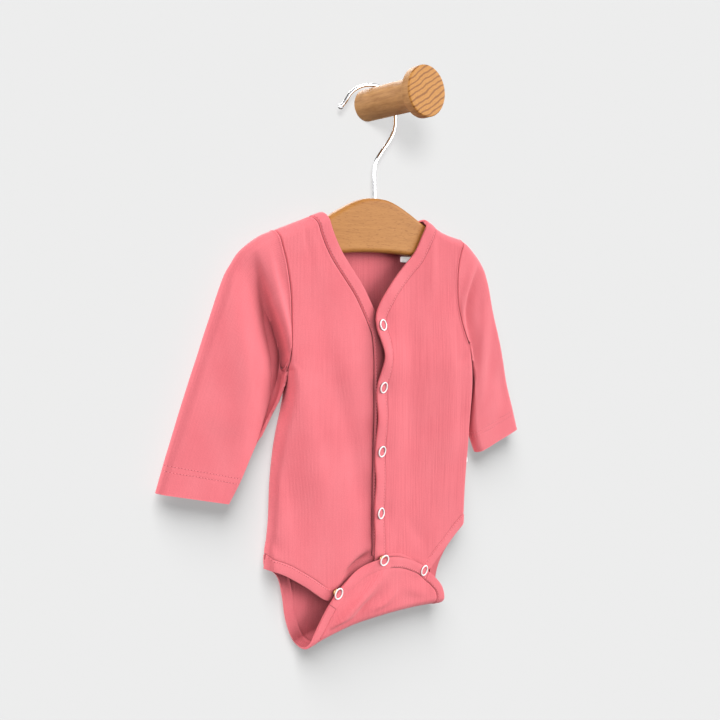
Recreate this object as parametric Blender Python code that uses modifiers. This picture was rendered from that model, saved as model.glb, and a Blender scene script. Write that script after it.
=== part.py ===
"""A newborn's snap-front bodysuit on a child's wooden hanger, hung on a round wall peg.

Metres, +Z up. The origin is the centre of the peg's back face, in the wall plane y = 0.
The front of the garment faces -Y, and the wearer's right side is at -X.

Each cloth piece is an open sheet of points on its outer face, thickened inwards. The
points start in the flat of the cut, as (x, z), and front_point() and back_point() wrap
them round the body.
"""

from math import pi

import bmesh
import bpy
import numpy as np
from mathutils import Vector

# Cloth
CLOTH = 0.0012            # thickness of the interlock jersey
BINDING = 0.0018          # thickness of a folded binding
SEAM_GAP = 0.0003         # between two pieces that are sewn together
FOLD_GAP = 0.0011         # the same where both come round a fold to meet
MITRE_GAP = 0.0002        # taken off each binding where two meet at a corner
NECK_BINDING_WIDTH = 0.0112
LEG_BINDING_WIDTH = 0.0088

# The body as it hangs, flattened: its sides lie at y = MIDDLE_Y
MIDDLE_Y = -0.0112
UNDERARM_Z = -0.2170
HEM_Z = -0.3600           # where the leg bindings start on the side seams
LEG_OPENING_Z = -0.3685   # and where they end
SIDE_ROLL = 0.0090        # how far in from a side seam the cloth comes round
LEG_ROLL = 0.0110         # how far down the back leg edge that roll runs
TOP_ROLL = 0.0085         # the same below the shoulder seams
ARMHOLE_ROLL = 0.0260     # the same above the underarm
SHOULDER_IN = (0.0565, -0.0925)
SHOULDER_OUT = (0.1020, -0.1090)
PLACKET_LIFT = 0.0022     # the upper front stands off the lower one at the snaps
PLACKET_FADE = (0.0100, 0.0400)    # between these distances from the middle it dies out
CHEST_FADE = (0.1200, 0.1600)      # and between these depths below the peg it begins

# The crotch: the back panel turns forward here and closes over the fronts
SLING_DROP = 0.0070
SLING_ARC = 0.0235
SLING_LOW_Z = -0.4338
SLING_SAG = {-1: 0.0104, 1: 0.0052}
SLING_HALF_WIDTH = 0.0780
FLAP_STAND_OFF = 0.0044
FLAP_FOLLOWS_Z = -0.4100  # the flap keeps to the fronts' form above this height
FLAP_FOLD_FADE = 0.0120   # rise over which the flap's fold begins

# Hardware
PEG_LENGTH = 0.0740
PEG_RADIUS = 0.0130
DISC_RADIUS = 0.0200
DISC_THICKNESS = 0.0090
DISC_LIP = 0.0011         # chamfer round the disc's edges
NECK_CURVE = [(0.0022, 0.0006), (0.0006, 0.0022), (0.0, 0.0055)]  # from the disc to the peg
HANGER_Y = -0.0112
HANGER_THICKNESS = 0.0100
HANGER_ROUNDING = 0.0036
WIRE_RADIUS = 0.0015
STEM_HOLE_RADIUS = 0.0018
STEM_HOLE_DEPTH = 0.0140
SNAP_RADIUS = 0.0050
SNAP_HOLE_RADIUS = 0.0031
SNAP_HEIGHT = 0.0010
STUD_RADIUS = 0.0036
STUD_HEIGHT = 0.0017
NORMAL_STEP = 0.0010      # to the points whose slope sets the way a snap faces

# Fineness of the sheets
BODY_ROWS = 12
ROWS_TO_SLING = 4
LEG_ROLL_SHARES = np.array([0, 0.1, 0.42, 1])
ROWS_IN_SLING = 6
ROWS_UP_FLAP = 4
FRONT_COLUMNS = 9
BACK_COLUMNS = 7
NECK_CURVE_SHARE = 0.08   # share of the back neck at each end with closer columns
SLEEVE_RINGS = 16
SLEEVE_RING_SPREAD = 1.15 # above 1, the rings stand closer near the armhole

COLOURS = {
    "cloth": (0.88, 0.20, 0.24),
    "beech": (0.76, 0.42, 0.18),
    "peg_wood": (0.60, 0.34, 0.15),
    "steel": (0.75, 0.75, 0.76),
    "white": (0.90, 0.90, 0.90),
}
ROUGHNESS = {"cloth": 0.85, "beech": 0.45, "peg_wood": 0.5, "steel": 0.15, "white": 0.35}


class Line:
    """A smooth curve through the rows of a table, read by its share of the length."""

    STEPS = 16

    def __init__(self, rows, smooth=True):
        rows = np.array(rows, float)
        if smooth:
            ends = np.vstack([2 * rows[0] - rows[1], rows, 2 * rows[-1] - rows[-2]])
            a, b, c, d = ends[:-3], ends[1:-2], ends[2:-1], ends[3:]
            t = np.linspace(0, 1, self.STEPS, endpoint=False)[:, None, None]
            spans = 0.5 * (2 * b + (c - a) * t + (2 * a - 5 * b + 4 * c - d) * t**2
                           + (3 * b - a - 3 * c + d) * t**3)
            rows = np.vstack([spans.transpose(1, 0, 2).reshape(-1, rows.shape[1]), rows[-1:]])
        self.points = rows
        steps = np.linalg.norm(np.diff(rows, axis=0), axis=1)
        self.run = np.concatenate([[0], np.cumsum(steps)])

    def at(self, shares):
        where = np.asarray(shares) * self.run[-1]
        return np.stack([np.interp(where, self.run, axis) for axis in self.points.T], -1)

    def inset(self, distance, start=None, end=None):
        """The curve moved to its left, with its ends trimmed to the points given."""
        along = np.gradient(self.points, axis=0)
        along /= np.linalg.norm(along, axis=1)[:, None]
        moved = self.points + distance * np.stack([-along[:, 1], along[:, 0]], -1)
        if start is not None:
            keep = np.linalg.norm(moved - start, axis=1).argmin() + 1
            moved = np.vstack([[start], moved[keep:]])
        if end is not None:
            keep = np.linalg.norm(moved - end, axis=1).argmin()
            moved = np.vstack([moved[:keep], [end]])
        return Line(moved, smooth=False)


class Profile:
    """A value that changes with height: rows of (height, value), top to bottom."""

    def __init__(self, rows):
        curve = Line(rows).points[::-1]
        self.heights, self.values = curve[:, 0], curve[:, 1]

    def __call__(self, z):
        return np.interp(z, self.heights, self.values)


# Armhole above the underarm, side seam below it: (height, distance from the middle)
SIDE = {
    -1: Profile([(-0.0900, 0.1050), (-0.1090, 0.1020), (-0.1200, 0.0990), (-0.1345, 0.0948),
                 (-0.1550, 0.0915), (-0.1740, 0.0910), (-0.1925, 0.0920), (-0.2170, 0.0930),
                 (-0.2370, 0.0932), (-0.2650, 0.1000), (-0.2830, 0.1035), (-0.3060, 0.1065),
                 (-0.3315, 0.1080), (-0.3485, 0.1100), (-0.3690, 0.1125), (-0.4500, 0.1125)]),
    1: Profile([(-0.0900, 0.1040), (-0.1090, 0.1020), (-0.1200, 0.0968), (-0.1370, 0.0928),
                (-0.1630, 0.0930), (-0.1745, 0.0950), (-0.1890, 0.1000), (-0.2040, 0.1070),
                (-0.2170, 0.1130), (-0.2370, 0.1150), (-0.2650, 0.1135), (-0.2830, 0.1122),
                (-0.3060, 0.1105), (-0.3315, 0.1085), (-0.3485, 0.1075), (-0.3690, 0.1070),
                (-0.4500, 0.1070)]),
}
FRONT_DEPTH = Profile([(-0.0800, 0.0072), (-0.1300, 0.0073), (-0.1750, 0.0078), (-0.2170, 0.0095),
                       (-0.2600, 0.0084), (-0.3100, 0.0070), (-0.3600, 0.0062), (-0.4500, 0.0060)])
BACK_DEPTH = Profile([(-0.0800, 0.0074), (-0.1400, 0.0073), (-0.2170, 0.0070), (-0.3000, 0.0062),
                      (-0.3700, 0.0056), (-0.4500, 0.0056)])

# Shoulder lines, each as (distance from the middle, height)
SHOULDER = {
    -1: [(0.0, -0.0720), SHOULDER_IN, SHOULDER_OUT, (0.1500, -0.1264)],
    1: [(0.0, -0.0720), SHOULDER_IN, (0.0625, -0.0953), (0.0690, -0.0993), (0.0762, -0.1024),
        (0.0849, -0.1050), (0.0977, -0.1076), SHOULDER_OUT, (0.1500, -0.1264)],
}

# Edges of the cut, each as (x, z) from the top down
LOWER_FRONT_EDGE = [(-0.0565, -0.0925), (-0.0535, -0.0985), (-0.0495, -0.1085), (-0.0420, -0.1220),
                    (-0.0318, -0.1352), (-0.0170, -0.1520), (-0.0085, -0.1650), (-0.0025, -0.1760),
                    (0.0030, -0.1880), (0.0048, -0.2050), (0.0050, -0.2400), (0.0050, -0.2800),
                    (0.0050, -0.3200), (0.0050, -0.3600), (0.0050, -0.3890)]
UPPER_FRONT_EDGE = [(0.0565, -0.0925), (0.0540, -0.0985), (0.0482, -0.1085), (0.0405, -0.1216),
                    (0.0275, -0.1340), (0.0105, -0.1502), (-0.0008, -0.1645), (-0.0062, -0.1760),
                    (-0.0064, -0.1850), (-0.0030, -0.1975), (-0.0012, -0.2105), (-0.0036, -0.2240),
                    (-0.0062, -0.2360), (-0.0055, -0.2630), (-0.0066, -0.2905), (-0.0058, -0.3170),
                    (-0.0066, -0.3437), (-0.0060, -0.3700), (-0.0060, -0.3890)]
BACK_NECK_EDGE = [(-0.0565, -0.0925), (-0.0490, -0.0975), (-0.0300, -0.1030), (0.0, -0.1050),
                  (0.0300, -0.1030), (0.0490, -0.0975), (0.0565, -0.0925)]
# Front lower edge: along the crotch tab, round its tip and out along the leg, per side
FRONT_HEM = {
    -1: [(-0.0160, -0.3908), (-0.0290, -0.3960), (-0.0380, -0.4020), (-0.0445, -0.4065),
         (-0.0520, -0.4090), (-0.0595, -0.4062), (-0.0660, -0.4012), (-0.0750, -0.3942),
         (-0.0842, -0.3878), (-0.0965, -0.3797), (-0.1060, -0.3740), (-0.1125, -0.3690)],
    1: [(0.0160, -0.3908), (0.0290, -0.3960), (0.0380, -0.4020), (0.0445, -0.4062),
        (0.0520, -0.4083), (0.0592, -0.4048), (0.0660, -0.3992), (0.0736, -0.3928),
        (0.0842, -0.3850), (0.0935, -0.3774), (0.1010, -0.3716), (0.1070, -0.3680)],
}
# Back leg edge in the flat of the cut: below the sling's start it runs on round the fold
# and up the flap's front, as (x, distance down the panel)
BACK_LEG = {
    -1: [(-0.1040, -0.3755), (-0.0965, -0.3840), (-0.0925, -0.4000), (-0.0900, -0.4165),
         (-0.0855, -0.4310), (-0.0790, -0.4440), (-0.0765, -0.4560), (-0.0715, -0.4640),
         (-0.0640, -0.4710), (-0.0565, -0.4775)],
    1: [(0.1040, -0.3770), (0.0975, -0.3868), (0.0885, -0.3960), (0.0815, -0.4065),
        (0.0780, -0.4190), (0.0770, -0.4310), (0.0762, -0.4440), (0.0745, -0.4540),
        (0.0705, -0.4640), (0.0640, -0.4715), (0.0565, -0.4775)],
}
FLAP_TOP = [(-0.0565, -0.4775), (-0.0480, -0.4832), (-0.0340, -0.4890), (-0.0170, -0.4935),
            (0.0, -0.4950), (0.0170, -0.4935), (0.0340, -0.4890), (0.0480, -0.4832),
            (0.0565, -0.4775)]

# Sleeves: outer edge from the shoulder, inner edge from the underarm, as (x, z)
SLEEVE_OUTER = {
    -1: [(-0.1020, -0.1090), (-0.1135, -0.1133), (-0.1244, -0.1198), (-0.1333, -0.1268),
         (-0.1395, -0.1351), (-0.1465, -0.1463), (-0.1596, -0.1786), (-0.1725, -0.2117),
         (-0.1852, -0.2450), (-0.1977, -0.2798), (-0.2045, -0.2995)],
    1: [(0.1020, -0.1090), (0.1080, -0.1118), (0.1150, -0.1172), (0.1237, -0.1250),
        (0.1302, -0.1332), (0.1342, -0.1425), (0.1436, -0.1737), (0.1562, -0.2112),
        (0.1657, -0.2433), (0.1752, -0.2685), (0.1820, -0.2881)],
}
SLEEVE_INNER = {
    -1: [(-0.0930, -0.2170), (-0.0985, -0.2380), (-0.1090, -0.2560), (-0.1220, -0.2770),
         (-0.1355, -0.3010), (-0.1450, -0.3155)],
    1: [(0.1130, -0.2170), (0.1180, -0.2330), (0.1185, -0.2550), (0.1180, -0.2750),
        (0.1195, -0.2900), (0.1260, -0.3060)],
}
SLEEVE_DEPTH_AT_CUFF = 0.0050
SLEEVE_BLEND = 0.12                # share of the sleeve over which the armhole's form fades
SLEEVE_ROLL = (0.0085, 0.0060)     # at the armhole, at the cuff

# Folds in the cloth: a ridge (+) or trough (-) from one point to another on the front,
# with its half width and its height
FOLDS = {
    "right_sleeve": [
        ((-0.1060, -0.1220), (-0.1000, -0.1880), 0.0070, 0.0035),
        ((-0.1170, -0.1420), (-0.1040, -0.2200), 0.0075, -0.0050),
        ((-0.1280, -0.1250), (-0.1250, -0.2300), 0.0160, 0.0030),
    ],
    "left_sleeve": [
        ((0.1120, -0.1220), (0.1020, -0.1850), 0.0080, 0.0035),
        ((0.1240, -0.1460), (0.1120, -0.2000), 0.0090, -0.0040),
    ],
    "body": [
        ((-0.0800, -0.1300), (-0.0720, -0.3200), 0.0200, -0.0012),
        ((-0.0420, -0.1800), (-0.0500, -0.3300), 0.0220, 0.0014),
        ((0.0400, -0.2000), (0.0600, -0.3300), 0.0200, 0.0014),
        ((0.0820, -0.1400), (0.0860, -0.3000), 0.0160, -0.0010),
    ],
    "flap": [
        ((-0.0560, -0.4330), (-0.0180, -0.3960), 0.0090, 0.0024),
    ],
}

FOLD_TAPER = (0.04, 0.96)  # shares of a fold's length that its taper is read between

# Snaps: (x, z) of the placket's, then of the crotch flap's
PLACKET_SNAPS = [(0.0, -0.1837), (0.0, -0.2360), (0.0, -0.2905), (0.0, -0.3437)]
FLAP_SNAPS = [(-0.0480, -0.4025), (0.0, -0.3832), (0.0490, -0.4020)]

HANGER_TOP = [(0.0, -0.0780), (0.0120, -0.0790), (0.0230, -0.0822), (0.0370, -0.0885),
              (0.0540, -0.0973), (0.0700, -0.1033), (0.0850, -0.1084), (0.0980, -0.1129),
              (0.1070, -0.1176), (0.1130, -0.1233), (0.1158, -0.1300), (0.1150, -0.1360),
              (0.1105, -0.1396)]
HANGER_BOTTOM_Z = -0.1230
HANGER_BOTTOM_SAG = 1.2    # metres of drop for each square metre of x
HANGER_BOTTOM_ENDS = 0.1050
HOOK_ROUTE = [(-0.0377, -0.0084), (-0.0318, -0.0030), (-0.0262, 0.0045), (-0.0190, 0.0100),
              (-0.0100, 0.0136), (0.0, 0.0149), (0.0095, 0.0134), (0.0165, 0.0085),
              (0.0212, 0.0005), (0.0228, -0.0095), (0.0212, -0.0200), (0.0162, -0.0287),
              (0.0075, -0.0390), (0.0012, -0.0480), (-0.0006, -0.0580), (-0.0003, -0.0700),
              (0.0, -0.0790), (0.0, -0.0905)]
HOOK_STEPS = 46
HOOK_TIP_SWELL = 1.5
HOOK_TIP_LENGTH = 0.0040

# Labels
NECK_LABEL = {"x": (0.0335, 0.0485), "z": (-0.1305, -0.1175)}
LABEL_THICKNESS = 0.0004
CARE_LABEL = {"z": (-0.3150, -0.3080), "reach": 0.0065}


def smoothstep(value, low, high):
    t = np.clip((value - low) / (high - low), 0, 1)
    return t * t * (3 - 2 * t)


def roll(distance, reach):
    """0 on the fold of the cloth, rising as a quarter ellipse to 1 at `reach` from it."""
    inside = np.clip(distance / reach, 0, 1)
    return np.sqrt(1 - (1 - inside) ** 2)


def roll_steps(steps):
    """Distances from a fold, in shares of its roll, that follow the quarter ellipse."""
    bend = pi / 2 * (1 - (1 - np.linspace(0, 1, steps + 1)) ** 1.5)
    return 1 - np.sin(bend)


def rolled_shares(flat, rolled, reach, length):
    """Shares of a length: `flat` even steps, then `rolled` closing in on the far end."""
    near = 1 - (reach / length) * roll_steps(rolled)[1:]
    return np.concatenate([np.linspace(0, 1 - reach / length, flat + 1), near])


def both_ends(low, high, reaches, rolled, flat):
    """Values from low to high that close in on both ends, for a fold at each."""
    size = high - low
    start = reaches[0] / abs(size) * roll_steps(rolled)[::-1]
    end = 1 - reaches[1] / abs(size) * roll_steps(rolled)
    middle = np.linspace(start[-1], end[0], flat + 1)
    return low + size * np.concatenate([start[:-1], middle, end[1:]])


def shoulder_z(x):
    """Height of the shoulder line, drawn on past both of its ends."""
    right, left = (np.interp(np.abs(x), *np.array(SHOULDER[side]).T) for side in (-1, 1))
    return np.where(x < 0, right, left)


def side_x(z, side):
    return side * SIDE[side](z)


def fold_height(name, x, z):
    total = np.zeros(np.broadcast(x, z).shape)
    for start, end, half_width, height in FOLDS[name]:
        ax, az = start
        dx, dz = end[0] - ax, end[1] - az
        share = ((x - ax) * dx + (z - az) * dz) / (dx * dx + dz * dz)
        share = np.clip(share, 0, 1)
        away = np.hypot(x - ax - share * dx, z - az - share * dz)
        taper = np.sqrt(np.sin(pi * np.clip(share, *FOLD_TAPER)))
        total += height * taper * np.exp(-((away / half_width) ** 2))
    return total


def body_roll(x, z):
    reach = np.where(x < 0, SIDE[-1](z), SIDE[1](z)) - np.abs(x)
    open_side = roll(z - UNDERARM_Z, ARMHOLE_ROLL)
    across = open_side + (1 - open_side) * roll(reach, SIDE_ROLL)
    return across * roll(shoulder_z(x) - z, TOP_ROLL)


def front_y(x, z, layer):
    """Outer face of a front. layer is 1 for the front that closes on top, -1 below it."""
    near = 1 - smoothstep(np.abs(x), *PLACKET_FADE)
    below_chest = smoothstep(-z, *CHEST_FADE)
    depth = FRONT_DEPTH(z) + layer * PLACKET_LIFT * near * below_chest
    depth = depth + fold_height("body", x, z) * below_chest
    return MIDDLE_Y - FOLD_GAP / 2 - depth * body_roll(x, z)


def front_point(x, z, layer):
    return np.stack([x, front_y(x, z, layer), z], -1)


def sling_start(x):
    sag = np.where(x < 0, SLING_SAG[-1], SLING_SAG[1]) * (x / SLING_HALF_WIDTH) ** 2
    return SLING_LOW_Z + SLING_DROP - sag


def flap_down(x, z):
    """Distance down the flat of the cut of a point of the flap's front at height z."""
    return 2 * sling_start(x) - SLING_ARC - z


def back_point(x, down):
    """A point of the back panel: down the back, round the sling and up the flap."""
    start = sling_start(x)
    turned = pi * np.clip((start - down) / SLING_ARC, 0, 1)
    rise = np.maximum(start - SLING_ARC - down, 0)
    z = np.where(down > start, down, start - SLING_DROP * np.sin(turned) + rise)
    back = MIDDLE_Y + FOLD_GAP / 2 + BACK_DEPTH(z) * body_roll(x, z)
    front = front_y(x, np.maximum(z, FLAP_FOLLOWS_Z), 1) - FLAP_STAND_OFF
    front = front - fold_height("flap", x, z) * smoothstep(rise, 0.0, FLAP_FOLD_FADE)
    y = back + (front - back) * (1 - np.cos(turned)) / 2
    return np.stack([x, y, z], -1)


def armhole_heights():
    """Heights of the points round an armhole, from the shoulder to the underarm."""
    return both_ends(SHOULDER_OUT[1], UNDERARM_Z, (TOP_ROLL, ARMHOLE_ROLL), 3, 5)


def side_heights():
    """Heights of the rows of the body panels along their sides."""
    below = np.linspace(UNDERARM_Z, HEM_Z, BODY_ROWS + 1)
    return np.concatenate([armhole_heights(), below[1:]])


def sleeve_rings(side, rings):
    """Rings of a sleeve from its armhole to its cuff, flattened front to back."""
    outer, inner = Line(SLEEVE_OUTER[side]), Line(SLEEVE_INNER[side])
    name = "right_sleeve" if side < 0 else "left_sleeve"
    heights = armhole_heights()
    armhole = np.stack([side_x(heights, side), heights], -1)
    chord_share = (heights - heights[0]) / (heights[-1] - heights[0])
    chord = armhole[0] + chord_share[:, None] * (armhole[-1] - armhole[0])
    bow = armhole - chord
    loops = []
    for share in np.linspace(0, 1, rings) ** SLEEVE_RING_SPREAD:
        top, under = outer.at(share), inner.at(share)
        span = np.linalg.norm(under - top)
        reach = SLEEVE_ROLL[0] + (SLEEVE_ROLL[1] - SLEEVE_ROLL[0]) * share
        width = both_ends(0, 1, (reach / span, reach / span), 3, 5)
        blend = smoothstep(share, 0.0, SLEEVE_BLEND)
        width = chord_share + (width - chord_share) * blend
        line = top + width[:, None] * (under - top) + bow * (1 - share) ** 3
        x, z = line[:, 0] + side * SEAM_GAP, line[:, 1]
        at_armhole = body_roll(armhole[:, 0], armhole[:, 1])
        hanging = roll(width * span, reach) * roll((1 - width) * span, reach)
        full = at_armhole + (hanging - at_armhole) * blend
        front = FRONT_DEPTH(z) + (SLEEVE_DEPTH_AT_CUFF - FRONT_DEPTH(z)) * share
        back = BACK_DEPTH(z) + (SLEEVE_DEPTH_AT_CUFF - BACK_DEPTH(z)) * share
        front = front + fold_height(name, x, z) * smoothstep(share, 0.0, SLEEVE_BLEND)
        front_side = np.stack([x, MIDDLE_Y - FOLD_GAP / 2 - front * full, z], -1)
        back_side = np.stack([x, MIDDLE_Y + FOLD_GAP / 2 + back * full, z], -1)
        loops.append(np.vstack([front_side, back_side[::-1]]))
    return np.array(loops)


def material(slot):
    found = bpy.data.materials.get(slot)
    if found:
        return found
    made = bpy.data.materials.new(slot)
    made.use_nodes = True
    shader = made.node_tree.nodes["Principled BSDF"]
    shader.inputs["Base Color"].default_value = (*COLOURS[slot], 1)
    shader.inputs["Roughness"].default_value = ROUGHNESS[slot]
    shader.inputs["Metallic"].default_value = 1.0 if slot == "steel" else 0.0
    made.diffuse_color = (*COLOURS[slot], 1)
    return made


def place(name, data, slot, collection):
    data.materials.append(material(slot))
    made = bpy.data.objects.new(name, data)
    collection.objects.link(made)
    return made


def sheet(name, grid, thickness, collection, ring=False, turned=False):
    """A cloth wall: `grid` is its outer face, rows by columns of points."""
    rows, columns = grid.shape[:2]
    index = np.arange(rows * columns).reshape(rows, columns)
    if ring:
        index = np.hstack([index, index[:, :1]])
    a, b, c, d = index[:-1, :-1], index[:-1, 1:], index[1:, 1:], index[1:, :-1]
    corners = (a, d, c, b) if turned else (a, b, c, d)
    faces = np.stack([corner.ravel() for corner in corners], -1)
    mesh = bpy.data.meshes.new(name)
    mesh.from_pydata(grid.reshape(-1, 3).tolist(), [], faces.tolist())
    mesh.shade_smooth()
    made = place(name, mesh, "cloth", collection)
    wall = made.modifiers.new("Wall", "SOLIDIFY")
    wall.thickness = thickness
    wall.offset = -1
    wall.use_even_offset = True
    wall.use_quality_normals = True
    return made


def patch(top, bottom, start, end, v, u):
    """Coons patch between four rows of points, with v down the rows and u across them."""
    v, u = v[:, None, None], u[..., :, None]
    across = (1 - u) * start[:, None] + u * end[:, None]
    down = (1 - v) * top[None] + v * bottom[None]
    upper_corners = (1 - v) * ((1 - u) * top[0] + u * top[-1])
    lower_corners = v * ((1 - u) * bottom[0] + u * bottom[-1])
    return across + down - upper_corners - lower_corners


def strip(edge, seam):
    """Grid of a binding: its folded edge, its middle and the seam that joins it on."""
    towards = edge - seam
    length = np.linalg.norm(towards, axis=1)[:, None]
    near = seam + towards * SEAM_GAP / length
    return np.stack([edge, (edge + near) / 2, near], 1)


def trimmed(shares, length, start, end):
    """The shares with a seam's gap taken off the start or the end."""
    gap = MITRE_GAP / length
    shares = shares.copy()
    shares[0] += gap * start
    shares[-1] -= gap * end
    return shares


def shoulder_seam(side, start_x):
    x = np.linspace(start_x, side * SHOULDER_OUT[0], 20)
    return Line(np.stack([x, shoulder_z(x)], -1), smooth=False)


def build_front(side, names, collection):
    """One front with its neck and placket binding and its leg binding."""
    edge = Line(LOWER_FRONT_EDGE if side < 0 else UPPER_FRONT_EDGE)
    placket_end = edge.points[-1]
    hem = Line([placket_end] + FRONT_HEM[side])
    gap, hem_gap = NECK_BINDING_WIDTH + SEAM_GAP, LEG_BINDING_WIDTH + SEAM_GAP
    seam_x = side * (SHOULDER_IN[0] + gap)
    corner = placket_end + (side * gap, hem_gap)
    heights = side_heights()
    side_rows = np.stack([side_x(heights, side), heights], -1)
    seam = edge.inset(side * gap, (seam_x, shoulder_z(seam_x)), corner)
    hem_seam = hem.inset(side * hem_gap, corner, side_rows[-1])
    v = (heights - heights[0]) / (heights[-1] - heights[0])
    u = rolled_shares(FRONT_COLUMNS, 4, SIDE_ROLL, hem_seam.run[-1])
    top = shoulder_seam(side, seam_x)
    flat = patch(top.at(u), hem_seam.at(u), seam.at(v), side_rows, v, u)
    pieces = [(names["panel"], flat, CLOTH, side > 0)]
    down = trimmed(v, seam.run[-1], 0, 1)
    pieces.append((names["binding"], strip(edge.at(down), seam.at(down)), BINDING, side > 0))
    along = trimmed(u, hem_seam.run[-1], 1, 0)
    pieces.append((names["leg"], strip(hem.at(along), hem_seam.at(along)), BINDING, side > 0))
    for name, points, thickness, turned in pieces:
        faces = front_point(points[..., 0], points[..., 1], side)
        sheet(name, faces, thickness, collection, turned=turned)


def leg_rows(line):
    """Points down a leg edge whose rows fall together where the panel turns forward."""
    past_start = line.points[:, 1] - sling_start(line.points[:, 0])
    rolled = past_start[0] - LEG_ROLL * LEG_ROLL_SHARES
    levels = np.concatenate([
        rolled[:-1],
        np.linspace(rolled[-1], 0, ROWS_TO_SLING + 1),
        np.linspace(0, -SLING_ARC, ROWS_IN_SLING + 1)[1:],
        np.linspace(-SLING_ARC, past_start[-1], ROWS_UP_FLAP + 1)[1:],
    ])
    shares = np.interp(-levels, -past_start, line.run / line.run[-1])
    return line.at(shares)


def build_back(collection):
    """The back panel, which runs on round the sling as the flap, and its bindings."""
    hem_gap = LEG_BINDING_WIDTH + SEAM_GAP
    heights = side_heights()
    neck, flap = Line(BACK_NECK_EDGE), Line(FLAP_TOP)
    rows, tops, strips = {}, {}, {}
    for side in (-1, 1):
        side_rows = np.stack([side_x(heights, side), heights], -1)
        low = (side_x(LEG_OPENING_Z, side), LEG_OPENING_Z)
        leg = Line([low] + BACK_LEG[side])
        seam = leg_rows(leg.inset(-side * hem_gap, side_rows[-1]))
        rows[side] = np.vstack([side_rows, seam[1:]])
        strips[side] = (leg_rows(leg), seam)
        tops[side] = shoulder_seam(side, side * (SHOULDER_IN[0] + NECK_BINDING_WIDTH + SEAM_GAP))
    neck_seam = neck.inset(-NECK_BINDING_WIDTH - SEAM_GAP, tops[-1].points[0], tops[1].points[0])
    flap_seam = flap.inset(hem_gap, rows[-1][-1], rows[1][-1])
    shoulder = rolled_shares(2, 4, SIDE_ROLL, tops[1].run[-1])
    across = both_ends(0, 1, (NECK_CURVE_SHARE, NECK_CURVE_SHARE), 2, 6)
    top = np.vstack([tops[-1].at(shoulder)[::-1], neck_seam.at(across)[1:-1], tops[1].at(shoulder)])
    half = rolled_shares(BACK_COLUMNS, 4, SIDE_ROLL, SHOULDER_OUT[0])
    rolled = np.concatenate([(1 - half[::-1]) / 2, (1 + half[1:]) / 2])
    even = np.linspace(0, 1, len(rolled))
    # Down the body the columns close in on the side seams; round the sling they are even,
    # the rows follow its sag, and the last few take up the arch of the flap.
    body_rows, all_rows = len(heights), len(rows[1])
    count = np.arange(all_rows)
    from_top = np.clip(1 - count / body_rows, 0, 1)
    to_sling = rows[1][:, 1] - sling_start(rows[1][:, 0])
    below_hem = np.clip(1 - to_sling / to_sling[body_rows - 1], 0, 1)
    up_flap = np.clip(1 - (all_rows - 1 - count) / ROWS_UP_FLAP, 0, 1)
    u = rolled + (even - rolled) * below_hem[:, None]
    width = (1 - u)[..., None] * rows[-1][:, None] + u[..., None] * rows[1][:, None]
    flat = width + from_top[:, None, None] * (top - width[0])
    ends = sling_start(rows[-1][:, :1]) * (1 - u) + sling_start(rows[1][:, :1]) * u
    sag = (sling_start(flat[..., 0]) - ends) * below_hem[:, None]
    flat[..., 1] += sag
    flat += up_flap[:, None, None] * (flap_seam.at(even) - flat[-1])
    sheet("back", back_point(flat[..., 0], flat[..., 1]), CLOTH, collection)
    pieces = [("back_neck_binding", strip(neck.at(across), neck_seam.at(across)), True)]
    for side, name in ((-1, "right_back_leg_binding"), (1, "left_back_leg_binding")):
        points = strip(*strips[side])
        back_up = points[-2] - points[-1]
        points[-1] += back_up * MITRE_GAP / np.linalg.norm(back_up)
        pieces.append((name, points, side > 0))
    along = trimmed(even, flap_seam.run[-1], 1, 1)
    pieces.append(("flap_binding", strip(flap.at(along), flap_seam.at(along)), False))
    for name, points, turned in pieces:
        faces = back_point(points[..., 0], points[..., 1])
        sheet(name, faces, BINDING, collection, turned=turned)


def build_sleeves(collection):
    for side, name in ((-1, "right_sleeve"), (1, "left_sleeve")):
        loops = sleeve_rings(side, SLEEVE_RINGS)
        sheet(name, loops, CLOTH, collection, ring=True, turned=side < 0)


def turned_solid(name, profile, steps, slot, collection):
    """A profile of (radius, height), from the top down, turned about +Z."""
    mesh = bpy.data.meshes.new(name)
    points = [(radius, 0, height) for radius, height in profile]
    mesh.from_pydata(points, [(i, i + 1) for i in range(len(points) - 1)], [])
    made = place(name, mesh, slot, collection)
    screw = made.modifiers.new("Turn", "SCREW")
    screw.steps = screw.render_steps = steps
    screw.use_merge_vertices = True
    screw.merge_threshold = 0.0001
    screw.use_smooth_shade = True
    return made


def ring_profile(outer, inner, height):
    crown = (outer + inner) / 2
    return [(inner, 0), (inner, height * 0.5), (crown, height), (outer, height * 0.5),
            (outer, 0), (inner, 0)]


def disc_profile(radius, height):
    return [(0, height), (radius, height), (radius, 0), (0, 0)]


def surface_frame(face, x, z):
    """Point and outward normal of a front or flap face, from its neighbours."""
    x, z = np.float64(x), np.float64(z)
    along = face(x + NORMAL_STEP, z) - face(x - NORMAL_STEP, z)
    up = face(x, z + NORMAL_STEP) - face(x, z - NORMAL_STEP)
    normal = np.cross(along, up)
    return Vector(face(x, z)), Vector(normal / np.linalg.norm(normal))


def seat(made, point, normal, height):
    made.location = point + normal * height
    made.rotation_mode = "QUATERNION"
    made.rotation_quaternion = normal.to_track_quat("Z", "Y")


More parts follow.
